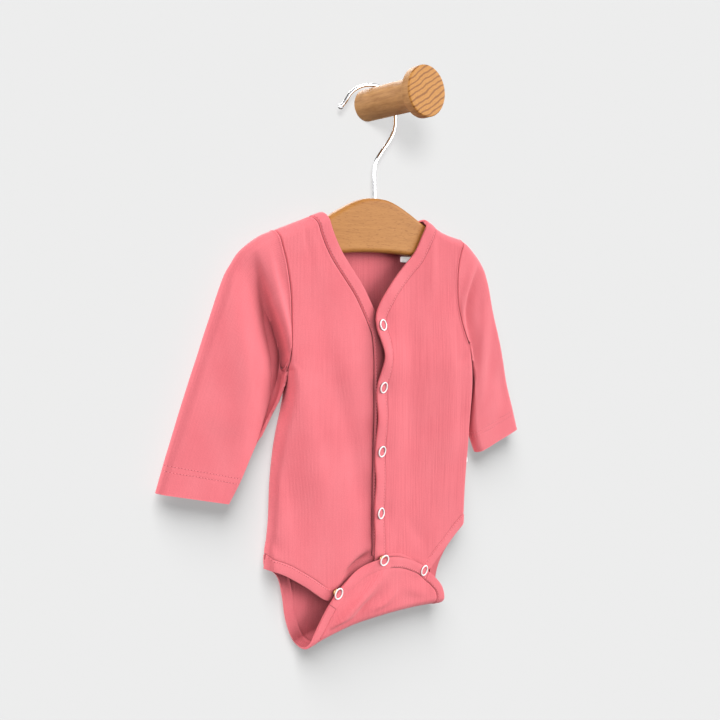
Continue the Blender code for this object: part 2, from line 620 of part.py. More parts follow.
def build_snaps(collection):
    """Each snap: an open ring outside, the fastened pair between, a ring inside."""
    def upper(x, z):
        return front_point(x, z, 1)

    def lower(x, z):
        return front_point(x, z, -1)

    def flap(x, z):
        return back_point(x, flap_down(x, z))

    rows = [(f"placket_snap_{i + 1}", x, z, upper, lower) for i, (x, z) in enumerate(PLACKET_SNAPS)]
    for i, (x, z) in enumerate(FLAP_SNAPS):
        rows.append((f"flap_snap_{i + 1}", x, z, flap, lower if x < 0 else upper))
    ring = ring_profile(SNAP_RADIUS, SNAP_HOLE_RADIUS, SNAP_HEIGHT)
    for name, x, z, outer_face, inner_face in rows:
        point, normal = surface_frame(outer_face, x, z)
        under, under_normal = surface_frame(inner_face, x, z)
        cap = turned_solid(name + "_cap", ring, 14, "white", collection)
        seat(cap, point, normal, SEAM_GAP)
        middle = (point - normal * BINDING + under) / 2
        pair = turned_solid(name + "_pair", disc_profile(STUD_RADIUS, STUD_HEIGHT), 10,
                            "white", collection)
        seat(pair, middle, under_normal, -STUD_HEIGHT / 2)
        base = turned_solid(name + "_base", ring, 10, "white", collection)
        seat(base, under, -under_normal, BINDING + SEAM_GAP)


def build_peg(collection):
    back = PEG_LENGTH - DISC_THICKNESS
    rim = DISC_RADIUS - DISC_LIP
    profile = [(0, PEG_LENGTH), (rim, PEG_LENGTH), (DISC_RADIUS, PEG_LENGTH - DISC_LIP),
               (DISC_RADIUS, back + DISC_LIP), (rim, back)]
    profile += [(PEG_RADIUS + out, back - down) for out, down in NECK_CURVE]
    profile += [(PEG_RADIUS, 0), (0, 0)]
    peg = turned_solid("wall_peg", profile, 32, "peg_wood", collection)
    peg.rotation_euler = (pi / 2, 0, 0)


def mesh_of(curve_object, collection, slot):
    """The curve's solid as a welded mesh object, in the curve's place."""
    bpy.context.view_layer.update()
    graph = bpy.context.evaluated_depsgraph_get()
    mesh = bpy.data.meshes.new_from_object(curve_object.evaluated_get(graph))
    work = bmesh.new()
    work.from_mesh(mesh)
    bmesh.ops.remove_doubles(work, verts=work.verts, dist=1e-6)
    work.to_mesh(mesh)
    work.free()
    mesh.materials.clear()
    name, matrix = curve_object.name, curve_object.matrix_world.copy()
    bpy.data.objects.remove(curve_object)
    made = place(name, mesh, slot, collection)
    made.name = name
    made.matrix_world = matrix
    return made


def build_hanger(collection, cutters):
    top = Line(HANGER_TOP).at(np.linspace(0, 1, 21))
    x = np.linspace(HANGER_BOTTOM_ENDS, -HANGER_BOTTOM_ENDS, 9)
    bottom = np.stack([x, HANGER_BOTTOM_Z - HANGER_BOTTOM_SAG * x**2], -1)
    mirrored = top[:0:-1] * (-1, 1)
    outline = np.vstack([top, bottom, mirrored])
    curve = bpy.data.curves.new("hanger", "CURVE")
    curve.dimensions = "2D"
    curve.fill_mode = "BOTH"
    curve.extrude = HANGER_THICKNESS / 2 - HANGER_ROUNDING
    curve.bevel_depth = HANGER_ROUNDING
    curve.bevel_resolution = 2
    curve.offset = -HANGER_ROUNDING
    spline = curve.splines.new("POLY")
    spline.points.add(len(outline) - 1)
    for point, (px, pz) in zip(spline.points, outline):
        point.co = (px, pz, 0, 1)
    spline.use_cyclic_u = True
    blank = bpy.data.objects.new("hanger", curve)
    collection.objects.link(blank)
    blank.location = (0, HANGER_Y, 0)
    blank.rotation_euler = (pi / 2, 0, 0)
    hanger = mesh_of(blank, collection, "beech")
    bore = bpy.data.meshes.new("stem_hole")
    work = bmesh.new()
    bmesh.ops.create_cone(work, cap_ends=True, segments=16, radius1=STEM_HOLE_RADIUS,
                          radius2=STEM_HOLE_RADIUS, depth=2 * STEM_HOLE_DEPTH)
    work.to_mesh(bore)
    work.free()
    cutter = bpy.data.objects.new("stem_hole", bore)
    cutters.objects.link(cutter)
    cutter.location = (0, HANGER_Y, HANGER_TOP[0][1])
    cutter.hide_render = True
    cutter.display_type = "WIRE"
    cut = hanger.modifiers.new("Stem hole", "BOOLEAN")
    cut.operation = "DIFFERENCE"
    cut.object = cutter


def build_hook(collection):
    route = Line(HOOK_ROUTE)
    shares = np.linspace(0, 1, HOOK_STEPS)
    curve = bpy.data.curves.new("hook", "CURVE")
    curve.dimensions = "3D"
    curve.bevel_depth = WIRE_RADIUS
    curve.bevel_resolution = 2
    curve.use_fill_caps = True
    spline = curve.splines.new("POLY")
    spline.points.add(HOOK_STEPS - 1)
    for point, (x, z), share in zip(spline.points, route.at(shares), shares):
        point.co = (x, HANGER_Y, z, 1)
        from_tip = share * route.run[-1]
        point.radius = HOOK_TIP_SWELL if from_tip < HOOK_TIP_LENGTH else 1.0
    place("hook", curve, "steel", collection)


def box_solid(name, low, high, collection):
    work = bmesh.new()
    bmesh.ops.create_cube(work, size=1)
    for vertex in work.verts:
        for axis in range(3):
            vertex.co[axis] = high[axis] if vertex.co[axis] > 0 else low[axis]
    mesh = bpy.data.meshes.new(name)
    work.to_mesh(mesh)
    work.free()
    place(name, mesh, "white", collection)


def build_labels(collection):
    """The size label inside the back neck, and the care label's tip in the side seam."""
    x, z = NECK_LABEL["x"], NECK_LABEL["z"]
    face = MIDDLE_Y + BACK_DEPTH(z[0]) - CLOTH - SEAM_GAP
    box_solid("neck_label", (x[0], face - LABEL_THICKNESS, z[0]), (x[1], face, z[1]), collection)
    z = CARE_LABEL["z"]
    edge = side_x(z[1], 1) + SEAM_GAP
    box_solid("care_label", (edge, MIDDLE_Y - LABEL_THICKNESS, z[0]),
              (edge + CARE_LABEL["reach"], MIDDLE_Y + LABEL_THICKNESS, z[1]), collection)


def main():
    for existing in list(bpy.data.objects):
        bpy.data.objects.remove(existing)
    scene = bpy.context.scene
    collection = bpy.data.collections.new("bodysuit_on_hanger")
    cutters = bpy.data.collections.new("cutters")
    scene.collection.children.link(collection)
    scene.collection.children.link(cutters)
    build_peg(collection)
    build_hook(collection)
    build_hanger(collection, cutters)
    build_front(-1, {"panel": "right_front", "binding": "right_front_binding",
                     "leg": "right_front_leg_binding"}, collection)
    build_front(1, {"panel": "left_front", "binding": "left_front_binding",
                    "leg": "left_front_leg_binding"}, collection)
    build_back(collection)
    build_sleeves(collection)
    build_snaps(collection)
    build_labels(collection)


main()
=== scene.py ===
"""The looks of a baby bodysuit on a wooden hanger, hung on a wall peg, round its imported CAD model.

Metres, in the frame of the CAD: the origin is the centre of the peg's back face, +Z is up, the
front of the garment faces -Y and the wearer's right side is at -X. Each cloth piece starts in the
flat of its cut, as (x, z), and is wrapped round the body, so its UV map is the cut in metres.
"""

from math import pi, radians

import bmesh
import bpy
import numpy as np
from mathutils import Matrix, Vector


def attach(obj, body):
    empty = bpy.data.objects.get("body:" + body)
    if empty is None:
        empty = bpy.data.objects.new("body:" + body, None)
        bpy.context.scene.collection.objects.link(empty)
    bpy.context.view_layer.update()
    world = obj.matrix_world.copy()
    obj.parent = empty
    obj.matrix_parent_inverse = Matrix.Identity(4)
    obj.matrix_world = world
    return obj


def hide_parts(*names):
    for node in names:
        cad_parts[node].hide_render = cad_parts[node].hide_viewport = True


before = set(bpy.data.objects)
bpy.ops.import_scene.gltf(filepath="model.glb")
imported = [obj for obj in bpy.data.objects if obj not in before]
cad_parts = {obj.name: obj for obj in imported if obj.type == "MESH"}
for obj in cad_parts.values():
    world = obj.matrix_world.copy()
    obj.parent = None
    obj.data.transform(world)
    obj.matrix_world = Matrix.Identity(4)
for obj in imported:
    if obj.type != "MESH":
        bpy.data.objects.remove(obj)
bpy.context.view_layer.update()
FINER = 5      # steps of a row or column for each one of the CAD's

# The camera of the picture
CAMERA_PLACE = (-0.5037, -0.5947, -0.1607)
CAMERA_PITCH = 86.08
CAMERA_YAW = -39.9
CAMERA_LENS = 45.585

# Lamps: degrees right of straight ahead and up, strength, and width in degrees
LAMPS = [
    ("key", 54, 12, 3.75, 50),
    ("fill", -58, 30, 2.35, 56),
    ("back_lamp", 150, 40, 1.8, 30),
    ("back_fill", -140, 20, 1.0, 40),
]
# The wall's own lamps, one for the shadow of the garment and one for the peg's: azimuth,
# elevation, strength, width and what blocks it
WALL_LAMPS = [
    ("wall_lamp_garment", -38, 50, 20.0, 44, "garment"),
    ("wall_lamp_peg", -36, 11, 5.0, 16, "peg"),
]
WORLD_TONES = [(0.25, (0.18, 0.18, 0.18)), (0.85, (0.30, 0.30, 0.30))]
SOFTBOX_TONES = [(0.30, (0.10, 0.09, 0.08)), (0.62, (0.25, 0.24, 0.23)), (0.82, (1.25, 1.25, 1.25))]
BACKDROP = (0.84, 0.84, 0.84)
WALL_PAINT = (0.14, 0.14, 0.14)
WALL_GLOW = 0.185       # share of the wall's tone that no shadow takes away
WALL_Y = 0.0002
WALL_REACH = 4.0

# Cloth
CLOTH = 0.0012
BINDING = 0.0018
SEAM_GAP = 0.0003
FOLD_GAP = 0.0011
MITRE_GAP = 0.0002
EDGE_SHARE = 0.3                    # rounding of a cut edge, as a share of the thickness
NECK_BINDING_WIDTH = 0.0112
LEG_BINDING_WIDTH = 0.0088

# The body as it hangs, flattened: its sides lie at y = MIDDLE_Y
MIDDLE_Y = -0.0112
UNDERARM_Z = -0.2170
HEM_Z = -0.3600
LEG_OPENING_Z = -0.3685
SIDE_ROLL = 0.0060
LEG_ROLL = 0.0110
TOP_ROLL = 0.0085
ARMHOLE_ROLL = 0.0200
SHOULDER_IN = (0.0565, -0.0925)
SHOULDER_OUT = (0.1020, -0.1090)
PLACKET_LIFT = 0.0022
PLACKET_FADE = (0.0100, 0.0400)
CHEST_FADE = (0.1200, 0.1600)
PLACKET_EASE = 0.35
PLACKET_EASES = (0.2200, 0.2600)    # depths between which the placket's lift grows less
ARMHOLE_FADE = 0.02                 # height over which an armhole's groove begins

# The crotch: the back panel turns forward here and closes over the fronts
SLING_DROP = 0.0070
SLING_ARC = 0.0235
SLING_LOW_Z = -0.4338
SLING_SAG = {-1: 0.0104, 1: 0.0052}
SLING_HALF_WIDTH = 0.0780
FLAP_STAND_OFF = 0.0044
FLAP_FOLLOWS_Z = -0.4100
FLAP_FACES_FRONT = 0.012            # down the cut from the sling's lowest point

# Sleeves
SLEEVE_DEPTH_AT_CUFF = 0.0050
SLEEVE_BLEND = 0.12
SLEEVE_ROLL = (0.0085, 0.0060)
SLEEVE_CREASE_FADE = 0.025
SLEEVE_RING_SPREAD = 1.15
CUFF_FINE_FROM = 0.80
CUFF_FINE_RINGS = 16
TUCK = {-1: 0.35, 1: 0.0}           # share of a sleeve's trough that slips in under its side

# Hardware
PEG_LENGTH = 0.0740
PEG_RADIUS = 0.0130
DISC_RADIUS = 0.0200
DISC_THICKNESS = 0.0090
DISC_LIP = 0.14 * DISC_THICKNESS
PEG_NECK = (0.0040, 0.0055)         # the curve between shaft and disc: out, and along the shaft
PEG_EDGE = 0.0004
PEG_STEPS = 96
HANGER_Y = -0.0112
HANGER_THICKNESS = 0.0100
HANGER_ROUNDING = 0.0036
HANGER_TOP_STEPS = 60
HANGER_BOTTOM_STEPS = 40
WIRE_RADIUS = 0.0015
WIRE_STEPS = 150
WIRE_BALL = {"at": 0.0022, "half": 0.0024, "swell": 1.5, "point": 0.15}
SNAP_RADIUS = 0.0050
SNAP_HOLE_RADIUS = 0.0037
SNAP_HEIGHT = 0.0010
SNAP_STEPS = 40
SNAP_MIDDLE = 0.45                  # height of the middle of a ring's section, as a share
SNAP_CLEAR = 0.0001
STUD_RADIUS = 0.0030
STUD_HEIGHT = 0.0012
STUD_STEPS = 24

# Fineness of the sheets, before FINER
BODY_ROWS = 12
ROWS_TO_SLING = 4
LEG_ROLL_SHARES = np.array([0, 0.1, 0.42, 1])
ROWS_IN_SLING = 6
ROWS_UP_FLAP = 4
FRONT_COLUMNS = 9
BACK_COLUMNS = 7
NECK_CURVE_SHARE = 0.08
SLEEVE_RINGS = 16
SHOULDER_STEPS = 40
NEAR_SEAM = np.array([0.0004, 0.0008, 0.0012, 0.0016, 0.0021, 0.0027, 0.0035])  # extra rows


class Line:
    """A smooth curve through the rows of a table, read by its share of the length."""

    STEPS = 24

    def __init__(self, rows, smooth=True):
        rows = np.array(rows, float)
        if smooth:
            ends = np.vstack([2 * rows[0] - rows[1], rows, 2 * rows[-1] - rows[-2]])
            a, b, c, d = ends[:-3], ends[1:-2], ends[2:-1], ends[3:]
            t = np.linspace(0, 1, self.STEPS, endpoint=False)[:, None, None]
            spans = 0.5 * (2 * b + (c - a) * t + (2 * a - 5 * b + 4 * c - d) * t**2
                           + (3 * b - a - 3 * c + d) * t**3)
            rows = np.vstack([spans.transpose(1, 0, 2).reshape(-1, rows.shape[1]), rows[-1:]])
        self.points = rows
        steps = np.linalg.norm(np.diff(rows, axis=0), axis=1)
        self.run = np.concatenate([[0], np.cumsum(steps)])

    def at(self, shares):
        where = np.asarray(shares) * self.run[-1]
        return np.stack([np.interp(where, self.run, axis) for axis in self.points.T], -1)

    def inset(self, distance, start=None, end=None):
        """The curve moved to its left, with its ends trimmed to the points given."""
        along = np.gradient(self.points, axis=0)
        along /= np.linalg.norm(along, axis=1)[:, None]
        moved = self.points + distance * np.stack([-along[:, 1], along[:, 0]], -1)
        if start is not None:
            keep = np.linalg.norm(moved - start, axis=1).argmin() + 1
            moved = np.vstack([[start], moved[keep:]])
        if end is not None:
            keep = np.linalg.norm(moved - end, axis=1).argmin()
            moved = np.vstack([moved[:keep], [end]])
        return Line(moved, smooth=False)


class Profile:
    """A value that changes with height: rows of (height, value), top to bottom."""

    def __init__(self, rows):
        curve = Line(rows).points[::-1]
        self.heights, self.values = curve[:, 0], curve[:, 1]

    def __call__(self, z):
        return np.interp(z, self.heights, self.values)


# Armhole above the underarm, side seam below it: (height, distance from the middle)
SIDE = {
    -1: Profile([(-0.0900, 0.1050), (-0.1090, 0.1020), (-0.1200, 0.0990), (-0.1345, 0.0948),
                 (-0.1550, 0.0915), (-0.1740, 0.0910), (-0.1925, 0.0920), (-0.2170, 0.0930),
                 (-0.2370, 0.0932), (-0.2650, 0.1000), (-0.2830, 0.1035), (-0.3060, 0.1065),
                 (-0.3315, 0.1080), (-0.3485, 0.1100), (-0.3690, 0.1125), (-0.4500, 0.1125)]),
    1: Profile([(-0.0900, 0.1040), (-0.1090, 0.1020), (-0.1200, 0.0968), (-0.1370, 0.0928),
                (-0.1630, 0.0930), (-0.1745, 0.0950), (-0.1890, 0.1000), (-0.2040, 0.1070),
                (-0.2170, 0.1130), (-0.2370, 0.1150), (-0.2650, 0.1135), (-0.2830, 0.1122),
                (-0.3060, 0.1105), (-0.3315, 0.1085), (-0.3485, 0.1075), (-0.3690, 0.1070),
                (-0.4500, 0.1070)]),
}
FRONT_DEPTH = Profile([(-0.0800, 0.0072), (-0.1300, 0.0073), (-0.1750, 0.0078), (-0.2170, 0.0095),
                       (-0.2600, 0.0084), (-0.3100, 0.0070), (-0.3600, 0.0062), (-0.4500, 0.0060)])
BACK_DEPTH = Profile([(-0.0800, 0.0074), (-0.1400, 0.0073), (-0.2170, 0.0070), (-0.3000, 0.0062),
                      (-0.3700, 0.0056), (-0.4500, 0.0056)])

# Shoulder lines, each as (distance from the middle, height)
SHOULDER = {
    -1: [(0.0, -0.0720), SHOULDER_IN, SHOULDER_OUT, (0.1500, -0.1264)],
    1: [(0.0, -0.0720), SHOULDER_IN, (0.0625, -0.0953), (0.0690, -0.0993), (0.0762, -0.1024),
        (0.0849, -0.1050), (0.0977, -0.1076), SHOULDER_OUT, (0.1500, -0.1264)],
}

# Edges of the cut, each as (x, z) from the top down
LOWER_FRONT_EDGE = [(-0.0565, -0.0925), (-0.0535, -0.0985), (-0.0495, -0.1085), (-0.0420, -0.1220),
                    (-0.0318, -0.1352), (-0.0170, -0.1520), (-0.0085, -0.1650), (-0.0025, -0.1760),
                    (0.0030, -0.1880), (0.0048, -0.2050), (0.0050, -0.2400), (0.0050, -0.2800),
                    (0.0050, -0.3200), (0.0050, -0.3600), (0.0050, -0.3890)]
UPPER_FRONT_EDGE = [(0.0565, -0.0925), (0.0540, -0.0985), (0.0482, -0.1085), (0.0405, -0.1216),
                    (0.0275, -0.1340), (0.0105, -0.1502), (-0.0008, -0.1645), (-0.0062, -0.1760),
                    (-0.0064, -0.1850), (-0.0030, -0.1975), (-0.0012, -0.2105), (-0.0036, -0.2240),
                    (-0.0062, -0.2360), (-0.0055, -0.2630), (-0.0066, -0.2905), (-0.0058, -0.3170),
                    (-0.0066, -0.3437), (-0.0060, -0.3700), (-0.0060, -0.3890)]
BACK_NECK_EDGE = [(-0.0565, -0.0925), (-0.0490, -0.0975), (-0.0300, -0.1030), (0.0, -0.1050),
                  (0.0300, -0.1030), (0.0490, -0.0975), (0.0565, -0.0925)]
# Front lower edge: along the crotch tab, round its tip and out along the leg, per side
FRONT_HEM = {
    -1: [(-0.0160, -0.3908), (-0.0290, -0.3960), (-0.0380, -0.4020), (-0.0445, -0.4065),
         (-0.0520, -0.4090), (-0.0595, -0.4062), (-0.0660, -0.4012), (-0.0750, -0.3942),
         (-0.0842, -0.3878), (-0.0965, -0.3797), (-0.1048, -0.3755), (-0.1128, -0.3720)],
    1: [(0.0160, -0.3908), (0.0290, -0.3960), (0.0380, -0.4020), (0.0445, -0.4062),
        (0.0520, -0.4083), (0.0592, -0.4048), (0.0660, -0.3992), (0.0736, -0.3928),
        (0.0842, -0.3850), (0.0935, -0.3774), (0.1010, -0.3716), (0.1070, -0.3680)],
}
# Back leg edge in the flat of the cut: below the sling's start it runs on round the fold
# and up the flap's front, as (x, distance down the panel)
BACK_LEG = {
    -1: [(-0.1040, -0.3755), (-0.0965, -0.3840), (-0.0925, -0.4000), (-0.0900, -0.4165),
         (-0.0855, -0.4310), (-0.0790, -0.4440), (-0.0765, -0.4560), (-0.0715, -0.4640),
         (-0.0640, -0.4710), (-0.0565, -0.4775)],
    1: [(0.1040, -0.3770), (0.0975, -0.3868), (0.0885, -0.3960), (0.0815, -0.4065),
        (0.0780, -0.4190), (0.0768, -0.4310), (0.0735, -0.4440), (0.0748, -0.4550),
        (0.0716, -0.4650), (0.0644, -0.4720), (0.0565, -0.4775)],
}
FLAP_TOP = [(-0.0565, -0.4775), (-0.0480, -0.4832), (-0.0340, -0.4890), (-0.0170, -0.4935),
            (0.0, -0.4950), (0.0170, -0.4935), (0.0340, -0.4890), (0.0480, -0.4832),
            (0.0565, -0.4775)]

# Sleeves: outer edge from the shoulder, inner edge from the underarm, as (x, z)
SLEEVE_OUTER = {
    -1: [(-0.1020, -0.1090), (-0.1135, -0.1133), (-0.1244, -0.1198), (-0.1333, -0.1268),
         (-0.1395, -0.1351), (-0.1465, -0.1463), (-0.1596, -0.1786), (-0.1725, -0.2117),
         (-0.1852, -0.2450), (-0.1977, -0.2798), (-0.2045, -0.2995)],
    1: [(0.1020, -0.1090), (0.1080, -0.1118), (0.1150, -0.1172), (0.1237, -0.1250),
        (0.1302, -0.1332), (0.1342, -0.1425), (0.1436, -0.1737), (0.1562, -0.2112),
        (0.1657, -0.2433), (0.1752, -0.2685), (0.1820, -0.2881)],
}
SLEEVE_INNER = {
    -1: [(-0.0930, -0.2170), (-0.0985, -0.2380), (-0.1090, -0.2560), (-0.1220, -0.2770),
         (-0.1355, -0.3010), (-0.1450, -0.3155)],
    1: [(0.1130, -0.2170), (0.1162, -0.2330), (0.1152, -0.2550), (0.1158, -0.2750),
        (0.1188, -0.2900), (0.1260, -0.3060)],
}

# Creases: the (x, z, height) of points along each, ridges being + and troughs -, and how far
# it spreads to each side. A crease listed downwards spreads first to -X, then to +X.
CREASES = {
    "right_sleeve": [
        ([(-0.1270, -0.1250, 0), (-0.1215, -0.1430, -0.0050), (-0.1150, -0.1626, -0.0095),
          (-0.1075, -0.1840, -0.0130), (-0.1015, -0.2026, -0.0145), (-0.0995, -0.2170, -0.0150),
          (-0.1025, -0.2369, -0.0145), (-0.1090, -0.2560, -0.0110), (-0.1190, -0.2800, -0.0050),
          (-0.1260, -0.3000, 0)], (0.0165, 0.0042)),
        ([(-0.1130, -0.1190, 0), (-0.1085, -0.1400, 0.0014), (-0.1020, -0.1650, 0.0026),
          (-0.0965, -0.1880, 0.0026), (-0.0935, -0.2040, 0)], (0.0045, 0.0040)),
        ([(-0.1060, -0.1250, 0), (-0.1025, -0.1400, -0.0008), (-0.0985, -0.1600, 0)],
         (0.0030, 0.0030)),
        ([(-0.1400, -0.1420, 0), (-0.1370, -0.1750, 0.0016), (-0.1340, -0.2200, 0.0020),
          (-0.1420, -0.2650, 0)], (0.0120, 0.0100)),
        ([(-0.1700, -0.2350, 0), (-0.1550, -0.2500, 0.0008), (-0.1350, -0.2620, 0)],
         (0.0100, 0.0120)),
    ],
    "left_sleeve": [
        ([(0.1195, -0.1330, 0), (0.1120, -0.1500, -0.0030), (0.1072, -0.1700, -0.0045),
          (0.1090, -0.1900, -0.0042), (0.1150, -0.2120, -0.0024), (0.1175, -0.2350, 0)],
         (0.0040, 0.0066)),
        ([(0.1190, -0.1230, 0), (0.1110, -0.1380, 0.0022), (0.1040, -0.1520, 0.0028),
          (0.0988, -0.1690, 0.0018), (0.0990, -0.1830, 0)], (0.0050, 0.0034)),
        ([(0.1310, -0.1420, 0), (0.1292, -0.1600, 0.0018), (0.1255, -0.1950, 0.0024),
          (0.1235, -0.2350, 0.0018), (0.1240, -0.2720, 0)], (0.0060, 0.0100)),
        ([(0.1500, -0.2250, 0), (0.1560, -0.2480, -0.0010), (0.1600, -0.2700, 0)],
         (0.0080, 0.0080)),
    ],
    "sleeve_back": [
        ([(-0.1180, -0.1350, 0), (-0.1100, -0.1700, -0.0030), (-0.1000, -0.2050, -0.0040),
          (-0.1030, -0.2450, 0)], (0.0100, 0.0070)),
        ([(0.1200, -0.1350, 0), (0.1170, -0.1700, -0.0032), (0.1200, -0.2100, -0.0038),
          (0.1230, -0.2500, 0)], (0.0070, 0.0100)),
        ([(-0.1650, -0.2100, 0), (-0.1480, -0.2300, -0.0011), (-0.1250, -0.2450, 0)],
         (0.0090, 0.0120)),
        ([(0.1300, -0.2050, 0), (0.1420, -0.2270, 0.0010), (0.1600, -0.2450, 0)],
         (0.0120, 0.0090)),
        ([(-0.1380, -0.1450, 0), (-0.1370, -0.1900, 0.0018), (-0.1420, -0.2350, 0)],
         (0.0100, 0.0110)),
    ],
    "front": [
        ([(-0.0937, -0.2050, 0), (-0.0880, -0.2200, 0.0010), (-0.0796, -0.2553, 0.0022),
          (-0.0642, -0.3068, 0.0019), (-0.0534, -0.3496, 0.0008), (-0.0450, -0.3750, 0)],
         (0.0150, 0.0120)),
        ([(-0.0650, -0.1600, 0), (-0.0588, -0.1985, -0.0011), (-0.0383, -0.2589, -0.0022),
          (-0.0248, -0.3062, -0.0018), (-0.0200, -0.3450, 0)], (0.0130, 0.0100)),
        ([(-0.1000, -0.2800, 0), (-0.0930, -0.3100, -0.0014), (-0.0850, -0.3450, -0.0011),
          (-0.0800, -0.3700, 0)], (0.0080, 0.0120)),
        ([(-0.1092, -0.3440, 0), (-0.1070, -0.3540, -0.0012), (-0.1030, -0.3620, 0)],
         (0.0030, 0.0045)),
        ([(-0.0782, -0.1020, 0), (-0.0775, -0.1150, -0.0006), (-0.0765, -0.1280, 0)],
         (0.0012, 0.0028)),
        ([(-0.0700, -0.1040, 0), (-0.0675, -0.1250, 0.0007), (-0.0650, -0.1500, 0)],
         (0.0040, 0.0060)),
        ([(-0.0930, -0.2080, 0), (-0.0880, -0.2125, -0.0006), (-0.0830, -0.2200, 0)],
         (0.0022, 0.0030)),
        ([(-0.0050, -0.3765, 0), (-0.0150, -0.3800, -0.0036), (-0.0290, -0.3862, -0.0040),
          (-0.0390, -0.3925, -0.0010), (-0.0440, -0.3950, 0)], (0.0036, 0.0055)),
        ([(0.0200, -0.1350, 0), (0.0270, -0.1628, -0.0010), (0.0354, -0.2059, -0.0022),
          (0.0381, -0.2671, -0.0024), (0.0347, -0.3373, -0.0013), (0.0330, -0.3600, 0)],
         (0.0130, 0.0140)),
        ([(0.0800, -0.1700, 0), (0.0821, -0.2077, 0.0016), (0.0854, -0.2894, 0.0016),
          (0.0818, -0.3441, 0)], (0.0120, 0.0100)),
        ([(0.0600, -0.1010, 0), (0.0613, -0.1148, 0.0011), (0.0600, -0.1400, 0.0010),
          (0.0591, -0.1700, 0)], (0.0060, 0.0040)),
        ([(0.1060, -0.2080, 0), (0.0980, -0.2170, -0.0008), (0.0900, -0.2230, 0)],
         (0.0035, 0.0025)),
        ([(0.0300, -0.3500, 0), (0.0460, -0.3700, -0.0010), (0.0620, -0.3880, 0)],
         (0.0060, 0.0080)),
    ],
    "placket": [
        ([(-0.0020, -0.1880, 0), (0.0005, -0.2080, 0.0044), (-0.0020, -0.2310, 0)],
         (0.0060, 0.0080)),
        ([(-0.0060, -0.2420, 0), (-0.0050, -0.2640, 0.0022), (-0.0060, -0.2860, 0)],
         (0.0060, 0.0070)),
        ([(-0.0060, -0.2960, 0), (-0.0050, -0.3170, 0.0018), (-0.0060, -0.3390, 0)],
         (0.0060, 0.0070)),
        ([(-0.0060, -0.3490, 0), (-0.0050, -0.3600, 0.0012), (-0.0060, -0.3720, 0)],
         (0.0060, 0.0070)),
    ],
    "back": [
        ([(-0.0750, -0.1250, 0), (-0.0640, -0.2200, -0.0016), (-0.0600, -0.3400, 0)],
         (0.0180, 0.0180)),
        ([(-0.0250, -0.1200, 0), (-0.0300, -0.1800, 0.0012), (-0.0350, -0.2600, 0)],
         (0.0120, 0.0150)),
        ([(0.0300, -0.1200, 0), (0.0300, -0.2000, -0.0014), (0.0200, -0.3000, 0)],
         (0.0130, 0.0140)),
        ([(0.0780, -0.1300, 0), (0.0760, -0.2400, 0.0014), (0.0680, -0.3500, 0)],
         (0.0160, 0.0140)),
        ([(-0.0900, -0.2120, 0), (-0.0700, -0.2260, -0.0013), (-0.0420, -0.2340, 0)],
         (0.0050, 0.0070)),
        ([(0.1000, -0.2160, 0), (0.0820, -0.2300, -0.0012), (0.0560, -0.2360, 0)],
         (0.0070, 0.0050)),
        ([(-0.0520, -0.3550, 0), (-0.0100, -0.3800, -0.0014), (0.0320, -0.3900, 0)],
         (0.0080, 0.0100)),
        ([(0.0600, -0.3450, 0), (0.0400, -0.3700, 0.0010), (0.0250, -0.4000, 0)],
         (0.0070, 0.0080)),
    ],
    "flap": [
        ([(-0.0620, -0.4420, 0.0014), (-0.0540, -0.4320, 0.0046), (-0.0370, -0.4180, 0.0058),
          (-0.0210, -0.4085, 0.0046), (-0.0010, -0.3950, 0.0016), (0.0060, -0.3860, 0)],
         (0.0072, 0.0036)),
        ([(-0.0200, -0.4320, 0.0022), (-0.0090, -0.4260, 0.0030), (0.0080, -0.4170, 0.0014),
          (0.0200, -0.4080, 0)], (0.0036, 0.0042)),
        ([(-0.0330, -0.4280, 0), (-0.0200, -0.4180, -0.0018), (-0.0020, -0.4090, 0)],
         (0.0030, 0.0040)),
        ([(0.0200, -0.4120, 0), (0.0360, -0.4170, 0.0012), (0.0540, -0.4240, 0)],
         (0.0050, 0.0070)),
    ],
}
CREASE_STEPS = 14
FLAP_CREASE_FADE = 0.0060
RIPPLE_HEIGHT = 0.00018
RIPPLE_LENGTHS = (0.018, 0.055)
RIPPLE_WAVES = 9
RIPPLE_SLOPE = 0.6                  # how much less a wave changes with height than across

# Snaps: x, z, and the degrees that each faces to +X and up from its cloth
PLACKET_SNAPS = [(0.0, -0.1837, 15, 7), (0.0, -0.2360, 13, -8), (0.0, -0.2905, 12, -6),
                 (0.0, -0.3437, 16, 0)]
FLAP_SNAPS = [(-0.0480, -0.4025, 12, -7), (0.0, -0.3832, 4, -9), (0.0490, -0.4020, 8, -8)]
SNAP_TILT_REACH = 0.0085
NORMAL_STEP = 0.0010

HANGER_TOP = [(0.0, -0.0780), (0.0120, -0.0790), (0.0230, -0.0822), (0.0370, -0.0885),
              (0.0540, -0.0973), (0.0700, -0.1033), (0.0850, -0.1084), (0.0980, -0.1129),
              (0.1070, -0.1176), (0.1130, -0.1233), (0.1158, -0.1300), (0.1150, -0.1360),
              (0.1105, -0.1396)]
HANGER_BOTTOM_Z = -0.1230
HANGER_BOTTOM_SAG = 1.2
HANGER_BOTTOM_ENDS = 0.1050
HOOK_ROUTE = [(-0.0377, -0.0084), (-0.0318, -0.0030), (-0.0262, 0.0045), (-0.0190, 0.0100),
              (-0.0100, 0.0136), (0.0, 0.0149), (0.0095, 0.0134), (0.0165, 0.0085),
              (0.0212, 0.0005), (0.0228, -0.0095), (0.0212, -0.0200), (0.0162, -0.0287),
              (0.0075, -0.0390), (0.0012, -0.0480), (-0.0006, -0.0580), (-0.0003, -0.0700),
              (0.0, -0.0790), (0.0, -0.0905)]
NECK_LABEL = {"x": (0.0340, 0.0480), "z": (-0.1301, -0.1252), "thick": 0.0024, "round": 0.0011}
CARE_LABEL = {"z": (-0.3142, -0.3092), "reach": 0.0042, "thick": 0.0008, "round": 0.0003}

